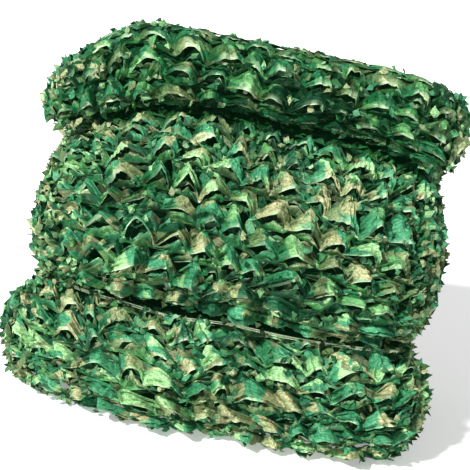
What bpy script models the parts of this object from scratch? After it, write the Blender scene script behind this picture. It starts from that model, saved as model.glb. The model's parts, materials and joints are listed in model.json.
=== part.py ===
"""Leaf-cut camouflage net with its edge cord.

The net is folded in half both ways into a band of four plies, and the band is folded back and
forth into three loose bulges that stand on the floor. Metres, +Z up, +X along the fold lines,
the rounded noses of the front folds towards -Y, the origin under the middle of the bundle.

The band runs from its free end on the floor at the back, forward round the bottom front fold,
and so on up to its free end on top. Its outer side is the one that lies on the floor, shows on
the front folds and ends on top; its inner side shows on the back folds.
"""

import math
import random
from typing import NamedTuple

import bmesh
import bpy
from mathutils import Vector
from mathutils.bvhtree import BVHTree

# Leaves: the cloth stands up in a hood between its knots, with half a leaf for each grid step.
COLUMNS = 26
HOOD_RISE = 0.011
HOOD_ROOT = -0.003
KNOT_DIP = 0.008
KNOT_SIDE = 0.0016
LEAF_SPREAD = 0.003
SEED = 23

# Rims: the two long edges of the band, drawn together and ragged with leaf tips.
RIM_ROUND = 0.016
RIM_ZONE = 0.045
RIM_PINCH = 0.30
TIP_REACH = 0.009
TIP_SPREAD = 0.004

# Both ends of the bundle draw back, in front and behind.
FRONT_ZONE = 0.30
BACK_ZONE = 0.28
BACK_REACH = 0.35
BACK_RECESS = 0.05

# From the front to the back of the bundle, where the partings come down to their rear heights.
LEVEL_FRONT = -0.02
LEVEL_BACK = 0.20
GAP_RUN = 0.12

# The band's two free ends, rounded.
FREE_END_Y = 0.225
FREE_END_ROUND = 0.024
FREE_END_PINCH = 0.32
FREE_END_SHARES = (0.02, 0.055)

# Edge cord: the columns that its length in the crease spans, and the shares of the middle
# front fold between which it shows at the left rim.
CORD_RADIUS = 0.003
CORD_ROUNDNESS = 2
CORD_CLEARANCE = 0.0004
CORD_LIFT_STEP = 0.0001
CORD_LIFT_STEPS = 60
CREASE_CORD_COLUMNS = (1, 25)
SIDE_CORD_SHARES = (0.75, 0.95)


class Parting(NamedTuple):
    """The line between two layers, or the floor or the top.

    Its height in front and at the back, half of the gap there, how far it sags at the left and
    right end and over what length, and the X that the band's rims reach beside it.
    """

    name: str
    front: float
    back: float
    gap_front: float
    gap_back: float
    sag_left: float
    sag_right: float
    zone: float
    left: float
    right: float


class FrontFold(NamedTuple):
    """A rounded front fold.

    Y of its foremost line and how far up the fold that lies, the reach of the rounding under
    and over it, the cloth before the parting inside, the length of that parting's tip, how far
    the two ends draw back, the X that they reach, the share where the next layer starts to
    hide the leaves and how much it hides, and a phase for the unevenness.
    """

    name: str
    nose: float
    belly: float
    under: float
    over: float
    wall: float
    tip: float
    recess_left: float
    recess_right: float
    left: float
    right: float
    fade: float
    hidden: float
    phase: float


class BackFold(NamedTuple):
    """A rounded back fold: Y of its rearmost line, the reach of its rounding and its cloth."""

    name: str
    nose: float
    reach: float
    wall: float
    phase: float


class Stretch(NamedTuple):
    """A stretch of the band: a layer, a front fold or a back fold, and its lines of points."""

    kind: str
    number: int
    rows: int


class Row(NamedTuple):
    """One line of points across the band, at a share of its stretch."""

    stretch: Stretch
    share: float


PARTINGS = (
    #       name           front  back   gap_f  gap_b  sag_l  sag_r  zone  left    right
    Parting("floor",       0.000, 0.000, 0.000, 0.000, 0.000, 0.000, 0.28, -0.340, 0.352),
    Parting("in_bottom",   0.096, 0.090, 0.006, 0.004, 0.000, 0.000, 0.28, -0.343, 0.346),
    Parting("low_crease",  0.199, 0.184, 0.004, 0.004, 0.000, 0.000, 0.28, -0.328, 0.336),
    Parting("in_middle",   0.345, 0.318, 0.034, 0.004, 0.045, 0.026, 0.28, -0.338, 0.337),
    Parting("high_crease", 0.538, 0.462, 0.004, 0.004, 0.098, 0.050, 0.28, -0.338, 0.330),
    Parting("in_top",      0.600, 0.524, 0.006, 0.006, 0.104, 0.040, 0.24, -0.354, 0.340),
    Parting("top",         0.662, 0.586, 0.000, 0.000, 0.112, 0.024, 0.17, -0.360, 0.340),
)

FRONT_FOLDS = (
    #         name      nose    belly under  over   wall   tip    rec_l rec_r left    right  fade  hid. phase
    FrontFold("bottom", -0.252, 0.50, 0.080, 0.120, 0.088, 0.020, 0.15, 0.13, -0.373, 0.378, 0.66, 1.0, 0.4),
    FrontFold("middle", -0.240, 0.36, 0.140, 0.220, 0.125, 0.110, 0.11, 0.11, -0.350, 0.352, 0.80, 0.7, 2.1),
    FrontFold("top",    -0.085, 0.44, 0.060, 0.080, 0.060, 0.014, 0.07, 0.06, -0.374, 0.348, 0.80, 0.0, 4.0),
)

BACK_FOLDS = (
    #        name     nose   reach  wall   phase
    BackFold("lower", 0.248, 0.100, 0.095, 1.2),
    BackFold("upper", 0.236, 0.085, 0.085, 3.3),
)

STRETCHES = (
    Stretch("layer", 0, 7),
    Stretch("front", 0, 12),
    Stretch("layer", 1, 4),
    Stretch("back", 0, 12),
    Stretch("layer", 2, 3),
    Stretch("front", 1, 20),
    Stretch("layer", 3, 4),
    Stretch("back", 1, 10),
    Stretch("layer", 4, 4),
    Stretch("front", 2, 8),
    Stretch("layer", 5, 8),
)
BOTTOM_FRONT = STRETCHES[1]
MIDDLE_FRONT = STRETCHES[5]
TOP_LAYER = 5


def clamp(value, low=0.0, high=1.0):
    """The value held between two limits."""
    return max(low, min(high, value))


def ease(value):
    """A smooth step from 0 to 1."""
    value = clamp(value)
    return value * value * (3.0 - 2.0 * value)


def mix(first, second, share):
    """A value between two others."""
    return first + (second - first) * share


def into_end(x, reach, zone):
    """How deep x lies in the zone before one end of the bundle, from 0 to 1."""
    return clamp((abs(x) - abs(reach) + zone) / zone) if x * reach > 0 else 0.0


def unevenness(x, phase):
    """Slow in-and-out wander of a fold along its length."""
    return 0.006 * math.sin(x / 0.061 + phase) + 0.004 * math.sin(x / 0.031 + 2.3 * phase)


def height(number, x, y):
    """Height of a parting over a place on the floor."""
    line = PARTINGS[number]
    level = mix(line.front, line.back, ease((y - LEVEL_FRONT) / (LEVEL_BACK - LEVEL_FRONT)))
    level -= line.sag_left * into_end(x, line.left, line.zone) ** 2
    level -= line.sag_right * into_end(x, line.right, line.zone) ** 2
    return level


def half_gap(number, y):
    """Half of the gap between the layers at a parting."""
    line = PARTINGS[number]
    return mix(line.gap_front, line.gap_back, ease((y - LEVEL_FRONT) / GAP_RUN + 0.5))


def front_nose(fold, x):
    """Y of a front fold's foremost line, which draws back in an arc at both ends."""
    left = into_end(x, fold.left, FRONT_ZONE)
    right = into_end(x, fold.right, FRONT_ZONE)
    recess = fold.recess_left * (1.0 - math.sqrt(1.0 - left * left))
    recess += fold.recess_right * (1.0 - math.sqrt(1.0 - right * right))
    return fold.nose + recess + unevenness(x, fold.phase)


def back_nose(fold, x):
    """Y of a back fold's rearmost line, which comes forward at both ends."""
    left = into_end(x, -BACK_REACH, BACK_ZONE)
    right = into_end(x, BACK_REACH, BACK_ZONE)
    return fold.nose - BACK_RECESS * (left ** 3 + right ** 3) + unevenness(x, fold.phase)


def quarter(reach, rise):
    """Length of a quarter of an oval, near enough to share out its points."""
    return 0.5 * math.pi * math.sqrt(0.5 * (reach * reach + rise * rise))


def front_outer(number, share, x):
    """(y, z) on the outside of a front fold, from its underside over the nose to its top."""
    fold = FRONT_FOLDS[number]
    nose = front_nose(fold, x)
    below = 2 * number
    above = below + 2
    low = height(below, x, nose + fold.under) + half_gap(below, nose)
    top = height(above, x, nose + fold.over) - half_gap(above, nose)
    belly = mix(low, top, fold.belly)
    split = quarter(fold.under, belly - low)
    split /= split + quarter(fold.over, top - belly)
    if share < split:
        angle = 0.5 * math.pi * share / split
        return nose + fold.under * (1.0 - math.sin(angle)), belly - (belly - low) * math.cos(angle)
    angle = 0.5 * math.pi * (share - split) / (1.0 - split)
    return nose + fold.over * (1.0 - math.cos(angle)), belly + (top - belly) * math.sin(angle)


def front_inner(number, share, x):
    """(y, z) on the inside of a front fold, round the tip of the parting in it."""
    fold = FRONT_FOLDS[number]
    inside = 2 * number + 1
    angle = math.pi * (share - 0.5)
    y = front_nose(fold, x) + fold.wall + fold.tip * (1.0 - math.cos(angle))
    return y, height(inside, x, y) + half_gap(inside, y) * math.sin(angle)


def back_outer(number, share, x):
    """(y, z) on the outside of a back fold, from its underside round to its top."""
    fold = BACK_FOLDS[number]
    below = 2 * number + 1
    above = below + 2
    y = back_nose(fold, x) - fold.reach
    low = height(below, x, y) + half_gap(below, y)
    top = height(above, x, y) - half_gap(above, y)
    angle = math.pi * share
    return y + fold.reach * math.sin(angle), mix(low, top, 0.5 - 0.5 * math.cos(angle))


def back_inner(number, share, x):
    """(y, z) on the inside of a back fold, round the rear end of the crease in it."""
    fold = BACK_FOLDS[number]
    inside = 2 * number + 2
    end = back_nose(fold, x) - fold.wall
    angle = math.pi * (share - 0.5)
    gap = half_gap(inside, end)
    y = end - gap * (1.0 - math.cos(angle))
    return y, height(inside, x, y) + gap * math.sin(angle)


def fold_point(kind, number, side, share, x):
    """(y, z) of a fold on the band's outer side (+1) or inner side (-1)."""
    if kind == "front":
        return front_outer(number, share, x) if side > 0 else front_inner(number, share, x)
    return back_inner(number, share, x) if side > 0 else back_outer(number, share, x)


def layer_ends(number, side, x):
    """Y where a layer starts and ends, at its folds or at its free end."""
    start = end = FREE_END_Y + unevenness(x, 5.0 + number)
    if number > 0:
        before = STRETCHES[2 * number - 1]
        start = fold_point(before.kind, before.number, side, 1.0, x)[0]
    if number < TOP_LAYER:
        after = STRETCHES[2 * number + 1]
        end = fold_point(after.kind, after.number, side, 0.0, x)[0]
    return start, end


def layer_point(number, side, share, x):
    """(y, z) of a layer, on the parting under it or over it."""
    start, end = layer_ends(number, side, x)
    y = mix(start, end, share)
    if (side > 0) == (number % 2 == 0):
        return y, height(number, x, y) + half_gap(number, y)
    return y, height(number + 1, x, y) - half_gap(number + 1, y)


def band_point(stretch, side, share, x):
    """(y, z) of the band's outer side (+1) or inner side (-1)."""
    if stretch.kind == "layer":
        return layer_point(stretch.number, side, share, x)
    return fold_point(stretch.kind, stretch.number, side, share, x)


def reach(stretch, share):
    """X of the band's two rims at a place along the band."""
    if stretch.kind == "front":
        fold = FRONT_FOLDS[stretch.number]
        low = PARTINGS[2 * stretch.number]
        top = PARTINGS[2 * stretch.number + 2]
        swell = math.sin(math.pi * share) ** 0.7
        left = mix(mix(low.left, top.left, share), fold.left, swell)
        right = mix(mix(low.right, top.right, share), fold.right, swell)
        return left, right
    crease = stretch.number + 1 if stretch.kind == "back" else (stretch.number + 1) // 2
    return PARTINGS[2 * crease].left, PARTINGS[2 * crease].right


def shown(stretch, side, share):
    """How much of the leaves' relief a place has: none where layers lie on each other."""
    if stretch.kind == "front" and side > 0:
        fold = FRONT_FOLDS[stretch.number]
        return ease((share - 0.08) / 0.2) * (1.0 - fold.hidden * ease((share - fold.fade) / 0.2))
    if stretch.kind == "back" and side < 0:
        return ease((share - 0.05) / 0.2) * ease((0.95 - share) / 0.2)
    if stretch.kind == "layer" and stretch.number == TOP_LAYER and side > 0:
        return 1.0
    return 0.0


def band_rows():
    """The lines of points along the band, closer together at its two free ends."""
    rows = [Row(stretch, step / stretch.rows) for stretch in STRETCHES for step in range(stretch.rows)]
    rows.append(Row(STRETCHES[-1], 1.0))
    for step, share in enumerate(FREE_END_SHARES):
        rows.insert(1 + step, Row(STRETCHES[0], share))
        rows.insert(len(rows) - 1 - step, Row(STRETCHES[-1], 1.0 - share))
    return rows


def pinch(row, x, y, rims):
    """How far the band's two sides draw together, at its rims and at its free ends."""
    from_rim = min(x - rims[0], rims[1] - x)
    amount = RIM_PINCH * clamp(1.0 - from_rim / RIM_ZONE) ** 2
    if row.stretch in (STRETCHES[0], STRETCHES[-1]):
        from_end = FREE_END_Y + unevenness(x, 5.0 + row.stretch.number) - y
        amount = max(amount, FREE_END_PINCH * clamp(1.0 - from_end / FREE_END_ROUND) ** 2)
    return amount


def section(row, column):
    """The band's outer and inner point in a column of its grid."""
    rims = reach(row.stretch, row.share)
    x = mix(rims[0] + RIM_ROUND, rims[1] - RIM_ROUND, column / COLUMNS)
    outer = Vector((x, *band_point(row.stretch, 1, row.share, x)))
    inner = Vector((x, *band_point(row.stretch, -1, row.share, x)))
    middle = (outer + inner) / 2
    amount = pinch(row, x, outer.y, rims)
    return outer.lerp(middle, amount), inner.lerp(middle, amount)


def leaf_relief(index, column, draw):
    """Height of the leaves at a grid point: hoods on odd columns, knots on even ones."""
    lip = index % 2 == 1
    if column % 2 == 1:
        rise = HOOD_RISE if lip else HOOD_ROOT
    else:
        rise = -KNOT_SIDE if lip else -KNOT_DIP
    return rise + draw.uniform(-LEAF_SPREAD, LEAF_SPREAD)


def rim_point(points, x):
    """The middle of the band's edge, moved out to the rim."""
    middle = (points[0] + points[1]) / 2
    middle.x = x
    return middle


def rim_tip(index, corded, draw):
    """How far a leaf tip stands out of the rim, with none where the cord lies on it."""
    spread = draw.uniform(-TIP_SPREAD, TIP_SPREAD)
    if corded:
        return 0.0
    return spread + (TIP_REACH if index % 2 == 0 else 0.0)


def side_cord_rows(rows):
    """The lines of points that end beside the edge cord at the left rim."""
    low, high = SIDE_CORD_SHARES
    return [index for index, row in enumerate(rows)
            if row.stretch == MIDDLE_FRONT and low <= row.share <= high]


def crease_cord_row(rows):
    """The line of points on the bottom fold's rear rim, under the edge cord."""
    return max(index for index, row in enumerate(rows) if row.stretch == BOTTOM_FRONT)


def bridge(bm, first, second):
    """Faces between two closed lines of points of the same length."""
    for number in range(len(first)):
        after = (number + 1) % len(first)
        bm.faces.new((first[number], first[after], second[after], second[number]))


def cap(bm, loop):
    """Close a free end of the band, from its outer line across to its inner line."""
    outer = loop[:COLUMNS + 1]
    inner = loop[COLUMNS + 2:-1][::-1]
    for column in range(COLUMNS):
        bm.faces.new((outer[column], outer[column + 1], inner[column + 1], inner[column]))
    bm.faces.new((outer[-1], loop[COLUMNS + 1], inner[-1]))
    bm.faces.new((outer[0], inner[0], loop[-1]))


def add_leaves(bm, relief):
    """Move the shown points in and out along the smooth form's normals."""
    bm.normal_update()
    for vert, place in [(vert, vert.co + vert.normal * rise) for vert, rise in relief]:
        vert.co = place


def centre_on_floor(bm):
    """Move the form so that the origin is under the middle of its box."""
    low = Vector([min(vert.co[axis] for vert in bm.verts) for axis in range(3)])
    high = Vector([max(vert.co[axis] for vert in bm.verts) for axis in range(3)])
    middle = (low + high) / 2
    bmesh.ops.translate(bm, vec=(-middle.x, -middle.y, -low.z), verts=bm.verts)


def net_form(rows):
    """The band as a loft of closed lines: outer side, right rim, inner side and left rim."""
    draw = random.Random(SEED)
    corded = side_cord_rows(rows)
    bm = bmesh.new()
    loops = []
    relief = []
    for index, row in enumerate(rows):
        left, right = reach(row.stretch, row.share)
        points = [section(row, column) for column in range(COLUMNS + 1)]
        right_rim = rim_point(points[-1], right + rim_tip(index, False, draw))
        left_rim = rim_point(points[0], left - rim_tip(index, index in corded, draw))
        outer = [bm.verts.new(point[0]) for point in points]
        inner = [bm.verts.new(point[1]) for point in points]
        loops.append(outer + [bm.verts.new(right_rim)] + inner[::-1] + [bm.verts.new(left_rim)])
        for side, line in ((1, outer), (-1, inner)):
            amount = shown(row.stretch, side, row.share)
            for column, vert in enumerate(line):
                relief.append((vert, amount * leaf_relief(index, column, draw)))
    for first, second in zip(loops, loops[1:]):
        bridge(bm, first, second)
    cap(bm, loops[0])
    cap(bm, loops[-1])
    bmesh.ops.recalc_face_normals(bm, faces=bm.faces)
    add_leaves(bm, relief)
    centre_on_floor(bm)
    bm.normal_update()
    return bm, loops


def crease_cord_places(rows, loops):
    """Where the cord lies along the crease: points on the cloth and the way out of it."""
    first, last = CREASE_CORD_COLUMNS
    return [(vert.co, vert.normal) for vert in loops[crease_cord_row(rows)][first:last + 1]]


def side_cord_places(rows, loops):
    """Where the cord lies at the left rim: points on the cloth's edge and the way out of it."""
    places = []
    for index in side_cord_rows(rows):
        face = loops[index][0]
        rim = loops[index][-1]
        places.append(((face.co + rim.co) / 2, (face.normal + rim.normal).normalized()))
    return places


def seated(places, cloth):
    """Centre line of a cord over places on the cloth, raised until it clears the cloth all along."""
    least = CORD_RADIUS + CORD_CLEARANCE
    for step in range(CORD_LIFT_STEPS):
        lift = least + step * CORD_LIFT_STEP
        route = [place + outward * lift for place, outward in places]
        along = [one.lerp(other, part / 4) for one, other in zip(route, route[1:]) for part in range(5)]
        if min(cloth.find_nearest(point)[3] for point in along) >= least:
            return route
    raise ValueError("the cord doesn't clear the cloth")


def finish(name, colour, roughness):
    """A plain material in the piece's colour."""
    material = bpy.data.materials.new(name)
    material.use_nodes = True
    shader = material.node_tree.nodes["Principled BSDF"]
    shader.inputs["Base Color"].default_value = (*colour, 1.0)
    shader.inputs["Roughness"].default_value = roughness
    shader.inputs["Metallic"].default_value = 0.0
    return material


def net_object(bm, material):
    """The folded net as one solid."""
    mesh = bpy.data.meshes.new("folded_net")
    bm.to_mesh(mesh)
    mesh.shade_smooth()
    mesh.set_sharp_from_angle(angle=math.radians(30.0))
    mesh.materials.append(material)
    return bpy.data.objects.new("folded_net", mesh)


def cord_object(name, route, material):
    """A length of the edge cord: a round tube with closed ends."""
    curve = bpy.data.curves.new(name, "CURVE")
    curve.dimensions = "3D"
    curve.bevel_depth = CORD_RADIUS
    curve.bevel_resolution = CORD_ROUNDNESS
    curve.use_fill_caps = True
    spline = curve.splines.new("POLY")
    spline.points.add(len(route) - 1)
    for point, place in zip(spline.points, route):
        point.co = (*place, 1.0)
    curve.materials.append(material)
    return bpy.data.objects.new(name, curve)


def main():
    """Build the net and the two lengths of cord in their own collection."""
    for leftover in list(bpy.data.objects):
        bpy.data.objects.remove(leftover, do_unlink=True)
    collection = bpy.data.collections.new("camouflage_net")
    bpy.context.scene.collection.children.link(collection)
    cloth = finish("leaf_cloth", (0.055, 0.19, 0.085), 0.55)
    cord = finish("edge_cord", (0.30, 0.36, 0.27), 0.6)
    rows = band_rows()
    bm, loops = net_form(rows)
    surface = BVHTree.FromBMesh(bm)
    pieces = [
        net_object(bm, cloth),
        cord_object("edge_cord_crease", seated(crease_cord_places(rows, loops), surface), cord),
        cord_object("edge_cord_side", seated(side_cord_places(rows, loops), surface), cord),
    ]
    bm.free()
    for piece in pieces:
        collection.objects.link(piece)


main()
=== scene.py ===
"""Looks of the folded camouflage net.

The net is leaf-cut cloth on a dark mesh: rows of curved cuts, pulled open so that the upper lip of
each cut stands up as a hood between two knots and its lower lip bends out as a tongue. It is folded
in half both ways into a band, and the band lies back and forth in three bulges on the floor.
"""

import json
import logging
import math
from dataclasses import dataclass, field, replace
from enum import Enum
from typing import Callable, NamedTuple, Sequence

import bpy
import numpy as np
from mathutils import Matrix, Vector

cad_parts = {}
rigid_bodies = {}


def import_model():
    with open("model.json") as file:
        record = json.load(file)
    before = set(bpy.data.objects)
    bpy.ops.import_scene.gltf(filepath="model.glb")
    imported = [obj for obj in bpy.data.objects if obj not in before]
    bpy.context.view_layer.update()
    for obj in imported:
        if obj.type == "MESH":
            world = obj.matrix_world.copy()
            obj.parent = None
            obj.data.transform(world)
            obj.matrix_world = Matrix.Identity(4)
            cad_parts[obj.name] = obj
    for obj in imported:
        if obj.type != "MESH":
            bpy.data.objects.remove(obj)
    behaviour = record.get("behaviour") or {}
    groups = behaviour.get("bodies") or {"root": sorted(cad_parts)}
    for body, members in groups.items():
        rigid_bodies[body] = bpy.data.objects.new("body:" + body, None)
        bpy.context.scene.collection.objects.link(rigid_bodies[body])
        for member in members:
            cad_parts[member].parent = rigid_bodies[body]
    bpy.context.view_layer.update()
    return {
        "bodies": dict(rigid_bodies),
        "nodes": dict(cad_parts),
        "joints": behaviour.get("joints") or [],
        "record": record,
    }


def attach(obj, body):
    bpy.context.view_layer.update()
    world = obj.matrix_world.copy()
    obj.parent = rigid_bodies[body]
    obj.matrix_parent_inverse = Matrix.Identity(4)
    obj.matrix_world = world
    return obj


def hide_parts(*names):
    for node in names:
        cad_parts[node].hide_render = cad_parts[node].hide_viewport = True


Array = np.ndarray
Piece = bpy.types.Object
Material = bpy.types.Material
Tree = bpy.types.NodeTree
Node = bpy.types.Node
Socket = bpy.types.NodeSocket
Triple = tuple[float, float, float]
log = logging.getLogger("camouflage_net")

BODY = "root"
NET_NODE = "folded_net"
CREASE_NODE = "edge_cord_crease"
SIDE_NODE = "edge_cord_side"

# Metres above the floor, and from the end of a patch.
FLOOR_CLEARANCE = 0.0006
END_MARGIN = 0.004

# Angles in degrees past which an edge is shaded as a crease.
LEAF_CREASE = 12.0
UNDER_CREASE = 20.0
TIP_CREASE = 20.0
MESH_CREASE = 60.0


class Side(Enum):
    """The two sides of the band."""

    OUTER = 1
    INNER = -1


class Kind(Enum):
    """What a stretch of the band does."""

    LAYER = "layer"
    FRONT = "front"
    BACK = "back"


class End(Enum):
    """The two ends of the bundle, where the band's rims lie."""

    LEFT = 0
    RIGHT = 1


class PrintShift(Enum):
    """How far the printed pattern is shifted on each kind of piece, so that none repeats another."""

    LEAVES = 0.0
    TIPS = 1.0
    UNDER_LEAVES = 2.0
    FLAPS = 3.0
    STRAYS = 4.0
    MESH = 5.0


class Parting(NamedTuple):
    """The line between two layers, where they part.

    Attributes:
        front: its height at the front.
        back: its height at the back.
        gap_front: half of the gap between the layers at the front.
        gap_back: half of the gap at the back.
        sag_left: how far it sags at the left end.
        sag_right: how far it sags at the right end.
        zone: how far from an end the sag starts.
        left: X of the left rim.
        right: X of the right rim.
    """

    front: float
    back: float
    gap_front: float
    gap_back: float
    sag_left: float
    sag_right: float
    zone: float
    left: float
    right: float


class FrontFold(NamedTuple):
    """A rounded front fold.

    Attributes:
        nose: Y of its foremost line.
        belly: how high that line lies, as a share of the fold's height.
        under: how far back the underside curves.
        over: how far back the top curves.
        wall: how thick the cloth is between the outside and the inside.
        tip: how far the inside is rounded.
        recess_left: how far the left end draws back.
        recess_right: how far the right end draws back.
        left: X of the left rim at the nose.
        right: X of the right rim at the nose.
        fade: how far round the fold the leaves' relief ends.
        hidden: how much of the relief is gone there.
        phase: where its wander starts.
    """

    nose: float
    belly: float
    under: float
    over: float
    wall: float
    tip: float
    recess_left: float
    recess_right: float
    left: float
    right: float
    fade: float
    hidden: float
    phase: float


class BackFold(NamedTuple):
    """A rounded back fold.

    Attributes:
        nose: Y of its rearmost line.
        reach: how far back it is rounded.
        wall: how thick the cloth is between the outside and the inside.
        phase: where its wander starts.
    """

    nose: float
    reach: float
    wall: float
    phase: float


class Stretch(NamedTuple):
    """A stretch of the band: a layer, a front fold or a back fold."""

    kind: Kind
    number: int


def clamp(value: Array, low: float = 0.0, high: float = 1.0) -> Array:
    """Hold values between two limits."""
    return np.clip(value, low, high)


def ease(value: Array) -> Array:
    """Step smoothly from 0 to 1."""
    value = clamp(value)
    return value * value * (3.0 - 2.0 * value)


def mix(first: Array, second: Array, share: Array) -> Array:
    """Give values between two others."""
    return first + (second - first) * share


def stacked(x: Array, y: Array, z: Array) -> Array:
    """Join three coordinates of one shape into points."""
    return np.stack(np.broadcast_arrays(x, y, z), axis=-1)


def unit(vectors: Array) -> Array:
    """Scale vectors to length 1."""
    return vectors / np.maximum(np.linalg.norm(vectors, axis=-1, keepdims=True), 1e-12)


@dataclass(frozen=True)
class FoldedBand:
    """The smooth form of the folded band, the same as its solid has under its leaves."""

    rim_round: float = 0.016
    rim_zone: float = 0.045
    rim_pinch: float = 0.30
    front_zone: float = 0.30
    back_zone: float = 0.28
    back_reach: float = 0.35
    back_recess: float = 0.05
    level_front: float = -0.02
    level_back: float = 0.20
    gap_run: float = 0.12
    slow_wander: tuple[float, float] = (0.006, 0.061)
    quick_wander: tuple[float, float] = (0.004, 0.031)
    quick_phase: float = 2.3
    free_end: float = 0.225
    free_end_phase: float = 5.0
    free_end_round: float = 0.024
    free_end_pinch: float = 0.32
    shelf_relief: float = 0.6
    shelf_end: float = 0.26
    shift: Triple = (-0.0017, 0.0010, 0.0)
    partings: tuple[Parting, ...] = (
        #       front  back   gap_f  gap_b  sag_l  sag_r  zone  left    right
        Parting(0.000, 0.000, 0.000, 0.000, 0.000, 0.000, 0.28, -0.340, 0.352),
        Parting(0.096, 0.090, 0.006, 0.004, 0.000, 0.000, 0.28, -0.343, 0.346),
        Parting(0.199, 0.184, 0.004, 0.004, 0.000, 0.000, 0.28, -0.328, 0.336),
        Parting(0.345, 0.318, 0.034, 0.004, 0.045, 0.026, 0.28, -0.338, 0.337),
        Parting(0.538, 0.462, 0.004, 0.004, 0.098, 0.050, 0.28, -0.338, 0.330),
        Parting(0.600, 0.524, 0.006, 0.006, 0.104, 0.040, 0.24, -0.354, 0.340),
        Parting(0.662, 0.586, 0.000, 0.000, 0.112, 0.024, 0.17, -0.360, 0.340),
    )
    front_folds: tuple[FrontFold, ...] = (
        #         nose    belly under  over   wall   tip    rec_l rec_r left    right  fade  hid. phase
        FrontFold(-0.252, 0.50, 0.080, 0.120, 0.088, 0.020, 0.15, 0.13, -0.373, 0.378, 0.86, 1.0, 0.4),
        FrontFold(-0.240, 0.36, 0.140, 0.220, 0.125, 0.110, 0.11, 0.11, -0.350, 0.352, 0.80, 0.7, 2.1),
        FrontFold(-0.085, 0.44, 0.060, 0.080, 0.060, 0.014, 0.07, 0.06, -0.374, 0.348, 0.80, 0.0, 4.0),
    )
    back_folds: tuple[BackFold, ...] = (
        #        nose   reach  wall   phase
        BackFold(0.248, 0.100, 0.095, 1.2),
        BackFold(0.236, 0.085, 0.085, 3.3),
    )
    stretches: tuple[Stretch, ...] = (
        Stretch(Kind.LAYER, 0),
        Stretch(Kind.FRONT, 0),
        Stretch(Kind.LAYER, 1),
        Stretch(Kind.BACK, 0),
        Stretch(Kind.LAYER, 2),
        Stretch(Kind.FRONT, 1),
        Stretch(Kind.LAYER, 3),
        Stretch(Kind.BACK, 1),
        Stretch(Kind.LAYER, 4),
        Stretch(Kind.FRONT, 2),
        Stretch(Kind.LAYER, 5),
    )

    @property
    def top_layer(self) -> int:
        """Number of the layer that ends on top."""
        return self.stretches[-1].number

    def into_end(self, x: Array, reach: float, zone: float) -> Array:
        """Say how deep x lies in the zone before one end of the bundle, from 0 to 1."""
        return np.where(x * reach > 0, clamp((np.abs(x) - abs(reach) + zone) / zone), 0.0)

    def unevenness(self, x: Array, phase: float) -> Array:
        """Give the slow in-and-out wander of a fold along its length.

        Args:
            x: X of the places.
            phase: where the wander starts.

        Returns:
            How far back it moves the fold.
        """
        slow, slow_length = self.slow_wander
        quick, quick_length = self.quick_wander
        wander = slow * np.sin(x / slow_length + phase)
        return wander + quick * np.sin(x / quick_length + self.quick_phase * phase)

    def height(self, number: int, x: Array, y: Array) -> Array:
        """Give the height of a parting over a place on the floor.

        Args:
            number: the parting's number.
            x: X of the places.
            y: their Y.

        Returns:
            The heights.
        """
        line = self.partings[number]
        rise = ease((y - self.level_front) / (self.level_back - self.level_front))
        level = mix(line.front, line.back, rise)
        level = level - line.sag_left * self.into_end(x, line.left, line.zone) ** 2
        return level - line.sag_right * self.into_end(x, line.right, line.zone) ** 2

    def half_gap(self, number: int, y: Array) -> Array:
        """Give half of the gap between the layers at a parting."""
        line = self.partings[number]
        return mix(line.gap_front, line.gap_back, ease((y - self.level_front) / self.gap_run + 0.5))

    def front_nose(self, fold: FrontFold, x: Array) -> Array:
        """Give Y of a front fold's foremost line, which draws back in an arc at both ends.

        Args:
            fold: the front fold.
            x: X of the places.

        Returns:
            Y of the line.
        """
        left = self.into_end(x, fold.left, self.front_zone)
        right = self.into_end(x, fold.right, self.front_zone)
        recess = fold.recess_left * (1.0 - np.sqrt(1.0 - left * left))
        recess = recess + fold.recess_right * (1.0 - np.sqrt(1.0 - right * right))
        return fold.nose + recess + self.unevenness(x, fold.phase)

    def back_nose(self, fold: BackFold, x: Array) -> Array:
        """Give Y of a back fold's rearmost line, which comes forward at both ends.

        Args:
            fold: the back fold.
            x: X of the places.

        Returns:
            Y of the line.
        """
        left = self.into_end(x, -self.back_reach, self.back_zone)
        right = self.into_end(x, self.back_reach, self.back_zone)
        return fold.nose - self.back_recess * (left ** 3 + right ** 3) + self.unevenness(x, fold.phase)

    def front_outer(self, number: int, share: Array, x: Array) -> Array:
        """Give points on the outside of a front fold, from its underside over the nose to its top.

        Args:
            number: the fold's number.
            share: how far round it.
            x: X of the places.

        Returns:
            The points.
        """
        fold = self.front_folds[number]
        nose = self.front_nose(fold, x)
        below = 2 * number
        above = below + 2
        low = self.height(below, x, nose + fold.under) + self.half_gap(below, nose)
        top = self.height(above, x, nose + fold.over) - self.half_gap(above, nose)
        belly = mix(low, top, fold.belly)
        lower = np.sqrt(0.5 * (fold.under ** 2 + (belly - low) ** 2))
        upper = np.sqrt(0.5 * (fold.over ** 2 + (top - belly) ** 2))
        split = lower / (lower + upper)
        under = 0.5 * math.pi * clamp(share / split)
        over = 0.5 * math.pi * clamp((share - split) / (1.0 - split))
        is_under = share < split
        back = np.where(is_under, fold.under * (1.0 - np.sin(under)), fold.over * (1.0 - np.cos(over)))
        z = np.where(is_under, belly - (belly - low) * np.cos(under), belly + (top - belly) * np.sin(over))
        return stacked(x, nose + back, z)

    def front_inner(self, number: int, share: Array, x: Array) -> Array:
        """Give points on the inside of a front fold, round the tip of the parting in it.

        Args:
            number: the fold's number.
            share: how far round it.
            x: X of the places.

        Returns:
            The points.
        """
        fold = self.front_folds[number]
        inside = 2 * number + 1
        angle = math.pi * (share - 0.5)
        y = self.front_nose(fold, x) + fold.wall + fold.tip * (1.0 - np.cos(angle))
        return stacked(x, y, self.height(inside, x, y) + self.half_gap(inside, y) * np.sin(angle))

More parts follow.
